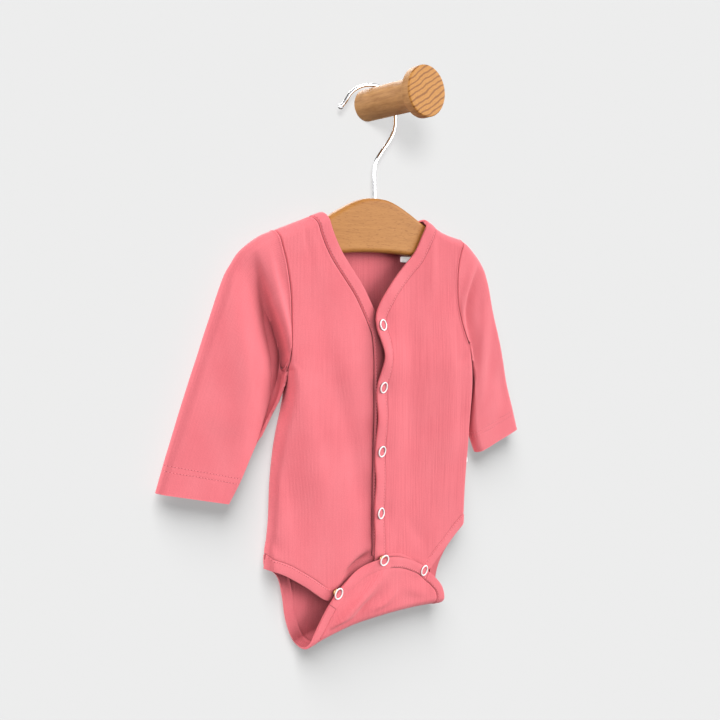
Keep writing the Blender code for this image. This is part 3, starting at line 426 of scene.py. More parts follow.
# Seams, as grooves: depth, width, and the lip beside some of them
SEAM_DEPTH = 0.0006
SEAM_WIDTH = 0.0014
NARROW_SEAM = 0.0007
NECK_SEAM_DEPTH = {-1: 0.0009, 1: 0.0002}
HEM_SEAM_DEPTH = 0.00025
FLAP_SEAM_DEPTH = 0.00012
FRONT_ARMHOLE = {"depth": 0.0008, "width": 0.0006, "lip": {-1: 0.0, 1: 0.0006}}
SLEEVE_ARMHOLE = {"depth": 0.0009, "width": 0.0006, "lip": {-1: 0.0005, 1: 0.0}}
LIP_AT = 0.0018
LIP_WIDTH = 0.0010
NECK_LIP_AT = 0.0026
NECK_LIP_WIDTH = 0.0013
COVERED_SEAM_GAP = -0.0005
FLAP_SEAM_SHOWS = (0.0020, 0.0100)  # the x from which the seam of the flap's binding shows
FLAP_COVERS = (0.0520, 0.0600)      # from the middle, where the flap's end lets the hem show

# Bindings: where the columns of a strip lie, its crown, and the dip into its seam
BAND_SHARES = np.array([0, 0.04, 0.10, 0.20, 0.35, 0.50, 0.65, 0.78, 0.86, 0.92, 0.965, 1])
BAND_CROWN = 0.00030
BAND_DIP = 0.0010
BAND_DIP_WIDTH = 0.0009
BAND_STITCHED_AT = 0.84
PLACKET_DIP = {-1: 0.7, 1: 0.12}
HEM_DIP = 0.25
BACK_DIP = {"neck": 0.12, "flap": 0.12, "right": 0.5, "left": 0.5}
FLAP_LEG_SEAM_FADE = 0.004

# Stitching
STITCH_PITCH = 0.0027
STITCH_LENGTH = 0.0019
STITCH_HEIGHT = 0.00005
STITCH_RINGS = [(0.12, 0.75), (0.5, 1.0), (0.88, 0.75)]     # share of the length, share of size
STITCH_SIDES = 6
STITCH_TURN = np.linspace(0, 2 * pi, STITCH_SIDES, endpoint=False)
THREAD_RADIUS = 0.00026
HOLE_RADIUS = 0.00040
HOLE_FLATNESS = 0.3
HOLE_NARROWNESS = 0.8
CUFF_STITCH_AT = (0.0165, 0.0207)
CUFF_STITCH_DEPTH = 0.00008
CUFF_STITCH_WIDTH = 0.0008

# Colours and grain
CORAL = (0.770, 0.168, 0.198)
CORAL_LIGHT = (0.800, 0.200, 0.230)
CORAL_DARK = (0.665, 0.123, 0.149)
THREAD_COLOUR = (0.82, 0.24, 0.275)
# Needle holes are painted shade: a dark lens on the cloth stands in for the shade inside the needle
# holes
HOLE_SHADE_COLOUR = (0.50, 0.065, 0.085)
ENAMEL = (0.93, 0.91, 0.91)
BRASS = (0.62, 0.45, 0.20)
TAPE = (0.92, 0.90, 0.90)
CHROME = (0.78, 0.78, 0.80)
RIB_PITCH = 0.0013
WAVE_SCALE = 1 / (RIB_PITCH * 3.18)  # Blender's wave repeats about 3.18 times in each unit
STREAK_SCALE = (1 / 0.0014, 1 / 0.060, 1)
# Painted shade on the cloth: ambient occlusion darkens its colour by these tones where other cloth is
# near
PAINTED_SHADE_REACH = 0.022                # how near other cloth has to be for the painted shade to darken the colour
PAINTED_SHADE_TONES = [(0.22, (0.30, 0.22, 0.24)), (0.72, (1.0, 1.0, 1.0))]
PEG_BAND_SLANT = radians(34)
PEG_BAND_PITCH = 0.0040
PEG_BAND_WAVER = 0.006


def smoothstep(value, low, high):
    t = np.clip((value - low) / (high - low), 0, 1)
    return t * t * (3 - 2 * t)


def roll(distance, reach):
    """0 on the fold of the cloth, rising as a quarter ellipse to 1 at `reach` from it."""
    inside = np.clip(distance / reach, 0, 1)
    return np.sqrt(1 - (1 - inside) ** 2)


def roll_steps(steps):
    """Distances from a fold, in shares of its roll, that follow the quarter ellipse."""
    bend = pi / 2 * (1 - (1 - np.linspace(0, 1, steps + 1)) ** 1.5)
    return 1 - np.sin(bend)


def finer(shares):
    """The same shares with FINER - 1 more between each two."""
    count = len(shares)
    return np.interp(np.linspace(0, count - 1, (count - 1) * FINER + 1), np.arange(count), shares)


def rolled_shares(flat, rolled, reach, length):
    """Shares of a length: `flat` even steps, then `rolled` closing in on the far end."""
    near = 1 - (reach / length) * roll_steps(rolled * FINER)[1:]
    return np.concatenate([np.linspace(0, 1 - reach / length, flat * FINER + 1), near])


def both_ends(low, high, reaches, rolled, flat):
    """Values from low to high that close in on both ends, for a fold at each."""
    size = high - low
    start = reaches[0] / abs(size) * roll_steps(rolled * FINER)[::-1]
    end = 1 - reaches[1] / abs(size) * roll_steps(rolled * FINER)
    middle = np.linspace(start[-1], end[0], flat * FINER + 1)
    return low + size * np.concatenate([start[:-1], middle, end[1:]])


def shoulder_z(x):
    """Height of the shoulder line, drawn on past both of its ends."""
    right, left = (np.interp(np.abs(x), *np.array(SHOULDER[side]).T) for side in (-1, 1))
    return np.where(x < 0, right, left)


def side_x(z, side):
    return side * SIDE[side](z)


def crease_height(name, x, z):
    """Sum of the named creases at points (x, z)."""
    x, z = np.broadcast_arrays(np.asarray(x, float), np.asarray(z, float))
    total = np.zeros(x.shape)
    for rows, widths in CREASES[name]:
        route = Line(rows).at(np.linspace(0, 1, CREASE_STEPS))
        low, high = route[:, :2].min(0) - 3 * max(widths), route[:, :2].max(0) + 3 * max(widths)
        near = (x > low[0]) & (x < high[0]) & (z > low[1]) & (z < high[1])
        px, pz = x[near][:, None], z[near][:, None]
        ax, az, start = route[:-1].T
        dx, dz, rise = np.diff(route, axis=0).T
        share = np.clip(((px - ax) * dx + (pz - az) * dz) / (dx**2 + dz**2), 0, 1)
        ox, oz = px - ax - share * dx, pz - az - share * dz
        nearest = np.hypot(ox, oz).argmin(1)
        pick = np.arange(len(nearest)), nearest
        away = np.hypot(ox, oz)[pick]
        right = (dx * oz - dz * ox)[pick] > 0
        height = (start + share * rise)[pick]
        total[near] += height * np.exp(-((away / np.where(right, widths[1], widths[0])) ** 2))
    return total


def snap_tilt(snaps, x, z):
    """The way each snap leans, which turns the cloth round it to one side."""
    total = np.zeros(np.broadcast(x, z).shape)
    for snap_x, snap_z, turn, rise in snaps:
        away = np.hypot(x - snap_x, z - snap_z) / SNAP_TILT_REACH
        slope = (x - snap_x) * np.tan(radians(turn)) + (z - snap_z) * np.tan(radians(rise))
        total = total - slope * np.exp(-(away**2))
    return total


def ripples(x, z, seed):
    """The slight unevenness of soft cloth: a few long waves that run every way."""
    draw = np.random.default_rng(seed)
    total = np.zeros(np.broadcast(x, z).shape)
    for _ in range(RIPPLE_WAVES):
        angle, phase = draw.uniform(0, pi), draw.uniform(0, 2 * pi)
        wave = 2 * pi / draw.uniform(*RIPPLE_LENGTHS)
        total += np.sin(wave * (x * np.cos(angle) + RIPPLE_SLOPE * z * np.sin(angle)) + phase)
    return RIPPLE_HEIGHT * total / 2


def body_roll(x, z):
    reach = np.where(x < 0, SIDE[-1](z), SIDE[1](z)) - np.abs(x)
    open_side = roll(z - UNDERARM_Z, ARMHOLE_ROLL)
    across = open_side + (1 - open_side) * roll(reach, SIDE_ROLL)
    return across * roll(shoulder_z(x) - z, TOP_ROLL)


def front_y(x, z, layer):
    """Outer face of a front. layer is 1 for the front that closes on top, -1 below it."""
    near = 1 - smoothstep(np.abs(x), *PLACKET_FADE)
    below_chest = smoothstep(-z, *CHEST_FADE) * (1 - PLACKET_EASE * smoothstep(-z, *PLACKET_EASES))
    depth = FRONT_DEPTH(z) + layer * PLACKET_LIFT * near * below_chest
    depth = depth + crease_height("front", x, z) + ripples(x, z, 1)
    if layer > 0:
        depth = depth + crease_height("placket", x, z) + snap_tilt(PLACKET_SNAPS, x, z)
    return MIDDLE_Y - (FOLD_GAP / 2 + depth) * body_roll(x, z)


def front_point(x, z, layer):
    return np.stack([x, front_y(x, z, layer), z], -1)


def sling_start(x):
    sag = np.where(x < 0, SLING_SAG[-1], SLING_SAG[1]) * (x / SLING_HALF_WIDTH) ** 2
    return SLING_LOW_Z + SLING_DROP - sag


def flap_down(x, z):
    """Distance down the flat of the cut of a point of the flap's front at height z."""
    return 2 * sling_start(x) - SLING_ARC - z


def back_point(x, down):
    """A point of the back panel: down the back, round the sling and up the flap."""
    start = sling_start(x)
    turned = pi * np.clip((start - down) / SLING_ARC, 0, 1)
    rise = np.maximum(start - SLING_ARC - down, 0)
    z = np.where(down > start, down, start - SLING_DROP * np.sin(turned) + rise)
    depth = BACK_DEPTH(z) + crease_height("back", x, z) + ripples(x, z, 2)
    back = MIDDLE_Y + (FOLD_GAP / 2 + depth) * body_roll(x, z)
    front = front_y(x, np.maximum(z, FLAP_FOLLOWS_Z), 1) - FLAP_STAND_OFF
    relief = crease_height("flap", x, z) + snap_tilt(FLAP_SNAPS, x, z) + ripples(x, z, 3)
    front = front - relief * smoothstep(rise, 0.0, FLAP_CREASE_FADE)
    y = back + (front - back) * (1 - np.cos(turned)) / 2
    return np.stack([x, y, z], -1)


def armhole_heights():
    """Heights of the points round an armhole, from the shoulder to the underarm."""
    return both_ends(SHOULDER_OUT[1], UNDERARM_Z, (TOP_ROLL, ARMHOLE_ROLL), 3, 5)


def side_heights():
    """Heights of the rows of the body panels along their sides."""
    below = np.linspace(UNDERARM_Z, HEM_Z, BODY_ROWS * FINER + 1)
    return np.unique(np.concatenate([armhole_heights(), below, HEM_Z + NEAR_SEAM]))[::-1]


def normals_of(grid, ring=False):
    """Unit normals of a grid of points, as the cross product of its rows and columns."""
    if ring:
        grid = np.concatenate([grid[:, -2:-1], grid, grid[:, 1:2]], 1)
    across = np.gradient(grid, axis=1)
    down = np.gradient(grid, axis=0)
    if ring:
        across, down = across[:, 1:-1], down[:, 1:-1]
    normal = np.cross(across, down)
    return normal / np.maximum(np.linalg.norm(normal, axis=-1), 1e-12)[..., None]


def add_piece(name, mesh, material, replaces=()):
    mesh.materials.append(material)
    piece = bpy.data.objects.new(name, mesh)
    bpy.context.scene.collection.objects.link(piece)
    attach(piece, "root")
    if replaces:
        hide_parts(*replaces)
    return piece


def cut_of(flat, ring):
    """Width, length and area of the flat cut of a piece, whose layers lie on each other in a ring."""
    if ring:
        flat = flat[:, :flat.shape[1] // 2]
    size = np.ptp(flat.reshape(-1, 2), axis=0)
    if ring:
        size[0] = 2 * np.linalg.norm(flat[:, -1] - flat[:, 0], axis=1).max()
    one, two = flat[1:, 1:] - flat[:-1, :-1], flat[1:, :-1] - flat[:-1, 1:]
    area = abs((one[..., 0] * two[..., 1] - one[..., 1] * two[..., 0]).sum()) / 2
    return size, area * (2 if ring else 1)


def shell(name, outer, outward, thickness, uv, material, cad_node, ring=False):
    """A closed cloth wall: `outer` is its outer face and `outward` that face's normals."""
    cut_of(outer[..., ::2] if ring else uv, ring)
    rows, columns = outer.shape[:2]
    inner = outer - outward * thickness
    index = np.arange(rows * columns).reshape(rows, columns)
    if ring:
        index = np.hstack([index, index[:, :1]])
    quads = [index[:-1, :-1], index[:-1, 1:], index[1:, 1:], index[1:, :-1]]
    faces = np.stack([corner.ravel() for corner in quads], -1)
    across, down = outer[0, 1] - outer[0, 0], outer[1, 0] - outer[0, 0]
    faces_out = np.dot(np.cross(across, down), outward[0, 0]) > 0
    if not faces_out:
        faces = faces[:, ::-1]
    count = rows * columns
    rims = [index[0], index[-1, ::-1]]
    if not ring:
        rims += [index[::-1, 0], index[:, -1]]
    edges = np.vstack([np.stack([rim[:-1], rim[1:]], -1) for rim in rims])
    if not faces_out:
        edges = edges[:, ::-1]
    sides = np.stack([edges[:, 1], edges[:, 0], edges[:, 0] + count, edges[:, 1] + count], -1)
    every = np.vstack([faces, faces[:, ::-1] + count, sides])
    mesh = bpy.data.meshes.new(name)
    points = np.vstack([outer.reshape(-1, 3), inner.reshape(-1, 3)])
    mesh.from_pydata(points.tolist(), [], every.tolist())
    layer = mesh.uv_layers.new(name="cut")
    corners = np.tile(uv.reshape(-1, 2), (2, 1))[every.ravel()]
    layer.data.foreach_set("uv", corners.astype(np.float32).ravel())
    mesh.shade_smooth()
    piece = add_piece(name, mesh, material, [cad_node])
    edge = piece.modifiers.new("Soft edge", "BEVEL")
    edge.width = thickness * EDGE_SHARE
    edge.segments = 2
    edge.limit_method = "ANGLE"
    edge.angle_limit = radians(60)
    edge.loop_slide = False


def patch(top, bottom, start, end, v, u):
    """Coons patch between four rows of points, with v down the rows and u across them."""
    v, u = v[:, None, None], u[..., :, None]
    across = (1 - u) * start[:, None] + u * end[:, None]
    down = (1 - v) * top[None] + v * bottom[None]
    upper_corners = (1 - v) * ((1 - u) * top[0] + u * top[-1])
    lower_corners = v * ((1 - u) * bottom[0] + u * bottom[-1])
    return across + down - upper_corners - lower_corners


def strip(edge, seam, gap=SEAM_GAP):
    """Grid of a binding, in the flat: from its folded edge to the seam that joins it on."""
    towards = seam - edge
    length = np.linalg.norm(towards, axis=1)[:, None]
    near = seam - towards * gap / length
    return edge[:, None] + BAND_SHARES[None, :, None] * (near - edge)[:, None]


def band_relief(flat, dip=1.0):
    """Height of a binding above its surface: a low crown, dipping into the seam."""
    span = np.linalg.norm(flat[:, -1] - flat[:, 0], axis=1)[:, None]
    share = BAND_SHARES[None]
    crown = BAND_CROWN * (1 - (2 * share - 1) ** 4)
    from_seam = (1 - share) * span
    return crown - dip * BAND_DIP * np.exp(-((from_seam / BAND_DIP_WIDTH) ** 2))


def trimmed(shares, length, start, end):
    """The shares with a seam's gap taken off the start or the end."""
    gap = MITRE_GAP / length
    shares = shares.copy()
    shares[0] += gap * start
    shares[-1] -= gap * end
    return shares


def shoulder_seam(side, start_x):
    x = np.linspace(start_x, side * SHOULDER_OUT[0], SHOULDER_STEPS)
    return Line(np.stack([x, shoulder_z(x)], -1), smooth=False)


def raised(surface, flat, relief, towards):
    """Points of a surface moved out by `relief`, and the outward normals there."""
    points = surface(flat[..., 0], flat[..., 1])
    normal = normals_of(points)
    middle = tuple(size // 2 for size in normal.shape[:2])
    if normal[middle][1] * towards < 0:
        normal = -normal
    return points + normal * relief[..., None], normal


def distance_from(flat, column):
    return np.linalg.norm(flat - flat[:, column:column + 1 or None], axis=-1)


def seam_relief(distance, depth=SEAM_DEPTH, width=SEAM_WIDTH, lip=0.0, lip_at=LIP_AT,
                lip_width=LIP_WIDTH):
    """A groove on a seam, with a soft lip beside it where one is given."""
    groove = -depth * np.exp(-((distance / width) ** 2))
    return groove + lip * np.exp(-(((distance - lip_at) / lip_width) ** 2))


def above_underarm(flat):
    """1 along an armhole, and 0 below it."""
    return smoothstep(flat[..., 1], UNDERARM_Z, UNDERARM_Z + ARMHOLE_FADE)


def build_front(side, cloth):
    """One front with its two bindings; gives the paths on which they are stitched."""
    who = "right" if side < 0 else "left"
    edge = Line(LOWER_FRONT_EDGE if side < 0 else UPPER_FRONT_EDGE)
    placket_end = edge.points[-1]
    hem = Line([placket_end] + FRONT_HEM[side])
    gap, hem_gap = NECK_BINDING_WIDTH + SEAM_GAP, LEG_BINDING_WIDTH + SEAM_GAP
    seam_x = side * (SHOULDER_IN[0] + gap)
    corner = placket_end + (side * gap, hem_gap)
    heights = side_heights()
    side_rows = np.stack([side_x(heights, side), heights], -1)
    seam = edge.inset(side * gap, (seam_x, shoulder_z(seam_x)), corner)
    hem_seam = hem.inset(side * hem_gap, corner, side_rows[-1])
    v = (heights - heights[0]) / (heights[-1] - heights[0])
    u = rolled_shares(FRONT_COLUMNS, 4, SIDE_ROLL, hem_seam.run[-1])
    u = np.unique(np.concatenate([u, NEAR_SEAM / hem_seam.run[-1]]))
    top = shoulder_seam(side, seam_x)
    flat = patch(top.at(u), hem_seam.at(u), seam.at(v), side_rows, v, u)

    def surface(x, z):
        return front_point(x, z, side)

    neck_depth = NECK_SEAM_DEPTH[side]
    relief = seam_relief(distance_from(flat, 0), neck_depth, NARROW_SEAM, neck_depth / 4,
                         NECK_LIP_AT, NECK_LIP_WIDTH)
    relief = relief + above_underarm(flat) * seam_relief(
        distance_from(flat, -1), FRONT_ARMHOLE["depth"], FRONT_ARMHOLE["width"],
        FRONT_ARMHOLE["lip"][side])
    hem_distance = np.linalg.norm(flat - flat[-1:], axis=-1)
    outside_flap = smoothstep(np.abs(flat[..., 0]), *FLAP_COVERS)
    relief = relief + outside_flap * seam_relief(hem_distance, HEM_SEAM_DEPTH, NARROW_SEAM)
    points, normal = raised(surface, flat, relief, -1)
    shell(f"front_{who}", points, normal, CLOTH, flat, cloth[who], f"{who}_front")
    down = trimmed(v, seam.run[-1], 0, 1)
    along = trimmed(u, hem_seam.run[-1], 1, 0)
    shows = smoothstep(np.abs(hem_seam.at(along)[:, :1]), *FLAP_COVERS)
    hem_gaps = shows * SEAM_GAP + (1 - shows) * COVERED_SEAM_GAP
    rows = [("binding", edge.at(down), seam.at(down), PLACKET_DIP[side], SEAM_GAP),
            ("leg_binding", hem.at(along), hem_seam.at(along), HEM_DIP * shows, hem_gaps)]
    paths = []
    for part, outside, inside, dip, gaps in rows:
        band = strip(outside, inside, gaps)
        points, normal = raised(surface, band, band_relief(band, dip), -1)
        shell(f"front_{part}_{who}", points, normal, BINDING, band, cloth["band"],
              f"{who}_front_{part}")
        paths.append(band_path(points, normal))
    clear_of_flap = np.abs(paths[1][0][:, 0]) > FLAP_COVERS[0]
    return [paths[0], [side_by_side[clear_of_flap] for side_by_side in paths[1]]]


def band_path(points, normal):
    """Where a binding is stitched down: points and normals a little in from its seam."""
    column = np.abs(BAND_SHARES - BAND_STITCHED_AT).argmin()
    return points[:, column], normal[:, column]


def leg_rows(line):
    """Points down a leg edge whose rows fall together where the panel turns forward."""
    past_start = line.points[:, 1] - sling_start(line.points[:, 0])
    rolled = past_start[0] - LEG_ROLL * LEG_ROLL_SHARES
    levels = np.concatenate([
        rolled[:-1],
        np.linspace(rolled[-1], 0, ROWS_TO_SLING + 1),
        np.linspace(0, -SLING_ARC, ROWS_IN_SLING + 1)[1:],
        np.linspace(-SLING_ARC, past_start[-1], ROWS_UP_FLAP + 1)[1:],
    ])
    levels = np.sort(np.concatenate([finer(levels), past_start[-1] + NEAR_SEAM]))[::-1]
    shares = np.interp(-levels, -past_start, line.run / line.run[-1])
    return line.at(shares)


def build_back(cloth):
    """The back panel, which runs on round the sling as the flap, and its bindings.

    Gives the paths on which the bindings are stitched.
    """
    hem_gap = LEG_BINDING_WIDTH + SEAM_GAP
    heights = side_heights()
    neck, flap = Line(BACK_NECK_EDGE), Line(FLAP_TOP)
    rows, tops, strips = {}, {}, {}
    for side in (-1, 1):
        side_rows = np.stack([side_x(heights, side), heights], -1)
        low = (side_x(LEG_OPENING_Z, side), LEG_OPENING_Z)
        leg = Line([low] + BACK_LEG[side])
        seam = leg_rows(leg.inset(-side * hem_gap, side_rows[-1]))
        rows[side] = np.vstack([side_rows, seam[1:]])
        strips[side] = (leg_rows(leg), seam)
        tops[side] = shoulder_seam(side, side * (SHOULDER_IN[0] + NECK_BINDING_WIDTH + SEAM_GAP))
    neck_seam = neck.inset(-NECK_BINDING_WIDTH - SEAM_GAP, tops[-1].points[0], tops[1].points[0])
    flap_seam = flap.inset(hem_gap, rows[-1][-1], rows[1][-1])
    shoulder = rolled_shares(2, 4, SIDE_ROLL, tops[1].run[-1])
    across = both_ends(0, 1, (NECK_CURVE_SHARE, NECK_CURVE_SHARE), 2, 6)
    top = np.vstack([tops[-1].at(shoulder)[::-1], neck_seam.at(across)[1:-1], tops[1].at(shoulder)])
    half = rolled_shares(BACK_COLUMNS, 4, SIDE_ROLL, SHOULDER_OUT[0])
    rolled = np.concatenate([(1 - half[::-1]) / 2, (1 + half[1:]) / 2])
    top = Line(top, smooth=False).at(np.linspace(0, 1, len(rolled)))
    even = (rolled + np.linspace(0, 1, len(rolled))) / 2
    from_top = np.clip((rows[1][:, 1] - heights[-1]) / (heights[0] - heights[-1]), 0, 1)
    to_sling = rows[1][:, 1] - sling_start(rows[1][:, 0])
    below_hem = np.clip(1 - to_sling / to_sling[len(heights) - 1], 0, 1)
    up_flap = np.clip((to_sling + SLING_ARC) / (to_sling[-1] + SLING_ARC), 0, 1)
    u = rolled + (even - rolled) * below_hem[:, None]
    width = (1 - u)[..., None] * rows[-1][:, None] + u[..., None] * rows[1][:, None]
    flat = width + from_top[:, None, None] * (top - width[0])
    ends = sling_start(rows[-1][:, :1]) * (1 - u) + sling_start(rows[1][:, :1]) * u
    flat[..., 1] += (sling_start(flat[..., 0]) - ends) * below_hem[:, None]
    flat += up_flap[:, None, None] * (flap_seam.at(even) - flat[-1])

    def normals_out(points, flat_points):
        """Normals that point away from the body, on the back and on the flap alike."""
        normal = normals_of(points)
        row = np.abs(flat_points[..., 1] - UNDERARM_Z).argmin()
        sample = np.unravel_index(row, flat_points.shape[:2])
        towards_back = 1 if flat_points[sample][1] > SLING_LOW_Z - FLAP_FACES_FRONT else -1
        return normal if normal[sample][1] * towards_back > 0 else -normal

    points = back_point(flat[..., 0], flat[..., 1])
    normal = normals_out(points, flat)
    relief = seam_relief(distance_from(flat, 0)) + seam_relief(distance_from(flat, -1))
    relief = relief * np.maximum(above_underarm(flat), below_hem[:, None])
    relief = relief + seam_relief(np.linalg.norm(flat - flat[-1:], axis=-1), FLAP_SEAM_DEPTH)
    points = points + normal * relief[..., None]
    shell("back_and_flap", points, normal, CLOTH, flat, cloth["flap"], "back")
    along = trimmed(even, flap_seam.run[-1], 1, 1)
    shows = smoothstep(flap_seam.at(along)[:, :1], *FLAP_SEAM_SHOWS)
    gaps = shows * SEAM_GAP + (1 - shows) * COVERED_SEAM_GAP
    bands = [("neck", "back_neck_binding", neck.at(across), neck_seam.at(across), SEAM_GAP),
             ("flap", "flap_binding", flap.at(along), flap_seam.at(along), gaps)]
    for side, who in ((-1, "right"), (1, "left")):
        edge, seam = strips[side]
        past_sling = sling_start(seam[:, :1]) - seam[:, 1:]
        covered = smoothstep(past_sling, SLING_ARC, SLING_ARC + FLAP_LEG_SEAM_FADE) * (side < 0)
        gaps = SEAM_GAP + (COVERED_SEAM_GAP - SEAM_GAP) * covered
        bands.append((who, f"{who}_back_leg_binding", edge, seam, gaps))
    paths = []
    for key, cad_node, outside, inside, gaps in bands:
        band = strip(outside, inside, gaps)
        points = back_point(band[..., 0], band[..., 1])
        normal = normals_out(points, band)
        points = points + normal * band_relief(band, BACK_DIP[key])[..., None]
        shell(cad_node + "_cloth", points, normal, BINDING, band, cloth["band"], cad_node)
        stitched = np.broadcast_to(gaps, (len(band), 1))[:, 0] > 0
        paths.append([side_by_side[stitched] for side_by_side in band_path(points, normal)])
    return paths


def sleeve_rings(side, rings):
    """Rings of a sleeve from its armhole to its cuff, flattened front to back."""
    outer, inner = Line(SLEEVE_OUTER[side]), Line(SLEEVE_INNER[side])
    name = "right_sleeve" if side < 0 else "left_sleeve"
    heights = armhole_heights()
    armhole = np.stack([side_x(heights, side), heights], -1)
    chord_share = (heights - heights[0]) / (heights[-1] - heights[0])
    chord = armhole[0] + chord_share[:, None] * (armhole[-1] - armhole[0])
    bow = armhole - chord
    loops, maps = [], []
    even = np.linspace(0, 1, rings) ** SLEEVE_RING_SPREAD
    cuff = np.linspace(CUFF_FINE_FROM, 1, CUFF_FINE_RINGS * FINER)
    seam = NEAR_SEAM / outer.run[-1]
    for share in np.unique(np.concatenate([even[even < CUFF_FINE_FROM], seam, cuff])):
        top, under = outer.at(share), inner.at(share)
        span = np.linalg.norm(under - top)
        reach = SLEEVE_ROLL[0] + (SLEEVE_ROLL[1] - SLEEVE_ROLL[0]) * share
        width = both_ends(0, 1, (reach / span, reach / span), 3, 5)
        blend = smoothstep(share, 0.0, SLEEVE_BLEND)
        width = chord_share + (width - chord_share) * blend
        line = top + width[:, None] * (under - top) + bow * (1 - share) ** 3
        x, z = line[:, 0] + side * SEAM_GAP, line[:, 1]
        at_armhole = body_roll(armhole[:, 0], armhole[:, 1])
        hanging = roll(width * span, reach) * roll((1 - width) * span, reach)
        full = at_armhole + (hanging - at_armhole) * blend
        front = FRONT_DEPTH(z) + (SLEEVE_DEPTH_AT_CUFF - FRONT_DEPTH(z)) * share
        back = BACK_DEPTH(z) + (SLEEVE_DEPTH_AT_CUFF - BACK_DEPTH(z)) * share
        fade = smoothstep(share, 0.0, SLEEVE_CREASE_FADE)
        crease = crease_height(name, x, z) * fade
        front = front + crease + ripples(x, z, 4) * fade
        back = back + (crease_height("sleeve_back", x, z) + ripples(x, z, 5)) * fade
        tuck = TUCK[side] * np.maximum(-crease, 0) * full
        front_side = np.stack([x + tuck, MIDDLE_Y - (FOLD_GAP / 2 + front) * full, z], -1)
        back_side = np.stack([x, MIDDLE_Y + (FOLD_GAP / 2 + back) * full, z], -1)
        loops.append(np.vstack([front_side, back_side[::-1]]))
        down = np.full(len(width), -share * outer.run[-1])
        round_it = width * span
        maps.append(np.vstack([np.stack([round_it, down], -1), np.stack([-round_it, down], -1)[::-1]]))
    return np.array(loops), np.array(maps)


def ring_at(points, normal, from_cuff, at):
    """The closed path round a sleeve at one distance from its cuff, and its normals."""
    path, facing = [], []
    for column in list(range(points.shape[1])) + [0]:
        distance = from_cuff[::-1, column]
        for found, source in ((path, points), (facing, normal)):
            found.append([np.interp(at, distance, axis) for axis in source[::-1, column].T])
    return np.array(path), np.array(facing)


def build_sleeves(cloth):
    """Both sleeves; gives the paths of their cuffs' stitches, by side."""
    paths = {}
    for side, who in ((-1, "right"), (1, "left")):
        loops, maps = sleeve_rings(side, SLEEVE_RINGS * FINER)
        normal = normals_of(loops, ring=True)
        centre = loops.mean(axis=1, keepdims=True)
        if ((loops - centre) * normal).sum() < 0:
            normal = -normal
        run = np.linalg.norm(np.diff(loops, axis=0), axis=-1)
        run = np.concatenate([np.zeros((1, run.shape[1])), np.cumsum(run, axis=0)])
        from_cuff = run[-1] - run
        relief = seam_relief(run, SLEEVE_ARMHOLE["depth"], SLEEVE_ARMHOLE["width"],
                             SLEEVE_ARMHOLE["lip"][side])
        for at in CUFF_STITCH_AT:
            relief = relief + seam_relief(np.abs(from_cuff - at), CUFF_STITCH_DEPTH,
                                          CUFF_STITCH_WIDTH)
        points = loops + normal * relief[..., None]
        shell(f"sleeve_{who}", points, normal, CLOTH, maps, cloth["sleeve"], f"{who}_sleeve",
              ring=True)
        paths[who] = [ring_at(points, normal, from_cuff, at) for at in CUFF_STITCH_AT]
    return paths


def stitch_frames(path, facing):
    """Start, direction and normal of each stitch along a path."""
    line = Line(path, smooth=False)
    count = int(line.run[-1] // STITCH_PITCH)
    start = (np.arange(count) + 0.5) * STITCH_PITCH
    shares = start / line.run[-1]
    here, there = line.at(shares), line.at(np.minimum(shares + STITCH_LENGTH / line.run[-1], 1))
    along = there - here
    keep = np.linalg.norm(along, axis=1) > STITCH_LENGTH * 0.6
    normal = np.stack([np.interp(start, line.run, axis) for axis in facing.T], -1)
    normal /= np.linalg.norm(normal, axis=1)[:, None]
    return here[keep], along[keep], normal[keep]


def joined_frames(paths):
    """The stitch frames of several paths as one list of each kind."""
    frames = [stitch_frames(*path) for path in paths]
    return [np.concatenate(group) for group in zip(*frames)]


def repeated(name, points, faces, material):
    """One mesh of many small shapes, each with its own row of points and the same faces."""
    per = points.shape[1]
    every = [tuple(k * per + v for v in face) for k in range(len(points)) for face in faces]
    mesh = bpy.data.meshes.new(name)
    mesh.from_pydata(points.reshape(-1, 3).tolist(), [], every)
    mesh.shade_smooth()
    add_piece(name, mesh, material)


def stitches(name, paths, material):
    """Rows of short threads, joined in one mesh, each with its ends sunk in the cloth."""
    here, along, normal = joined_frames(paths)
    side = np.cross(along, normal)
    side /= np.linalg.norm(side, axis=1)[:, None]
    sunk = normal * THREAD_RADIUS
    points = [here - sunk]
    for share, size in STITCH_RINGS:
        centre = here + along * share + normal * STITCH_HEIGHT * size
        for angle in STITCH_TURN:
            out = side * np.cos(angle) + normal * np.sin(angle)
            points.append(centre + out * THREAD_RADIUS * size)
    points = np.stack(points + [here + along - sunk], 1)
    last, last_ring = points.shape[1] - 1, 1 + (len(STITCH_RINGS) - 1) * STITCH_SIDES
    faces = []
    for i in range(STITCH_SIDES):
        j = (i + 1) % STITCH_SIDES
        faces.append((0, 1 + j, 1 + i))
        for low in range(1, last_ring, STITCH_SIDES):
            high = low + STITCH_SIDES
            faces.append((low + i, low + j, high + j, high + i))
        faces.append((last_ring + i, last_ring + j, last))
    repeated(name, points, faces, material)


def needle_holes(name, paths, material):
    """The small sunk marks between stitches, as flat lens shapes on the cloth, coloured dark as
    painted shade for the needle holes.
    """
    here, along, normal = joined_frames(paths)
    direction = along / np.linalg.norm(along, axis=1)[:, None]
    side = np.cross(direction, normal) * HOLE_NARROWNESS
    centre = here - direction * (STITCH_PITCH - STITCH_LENGTH) / 2
    rise = normal * HOLE_RADIUS * HOLE_FLATNESS
    rim = [centre + (side * np.cos(angle) + direction * np.sin(angle)) * HOLE_RADIUS
           for angle in STITCH_TURN]
    points = np.stack([centre + rise] + rim + [centre - rise], 1)
    faces = []
    for i in range(STITCH_SIDES):
        j = (i + 1) % STITCH_SIDES
        faces += [(0, 1 + i, 1 + j), (STITCH_SIDES + 1, 1 + j, 1 + i)]
    repeated(name, points, faces, material)


# Materials

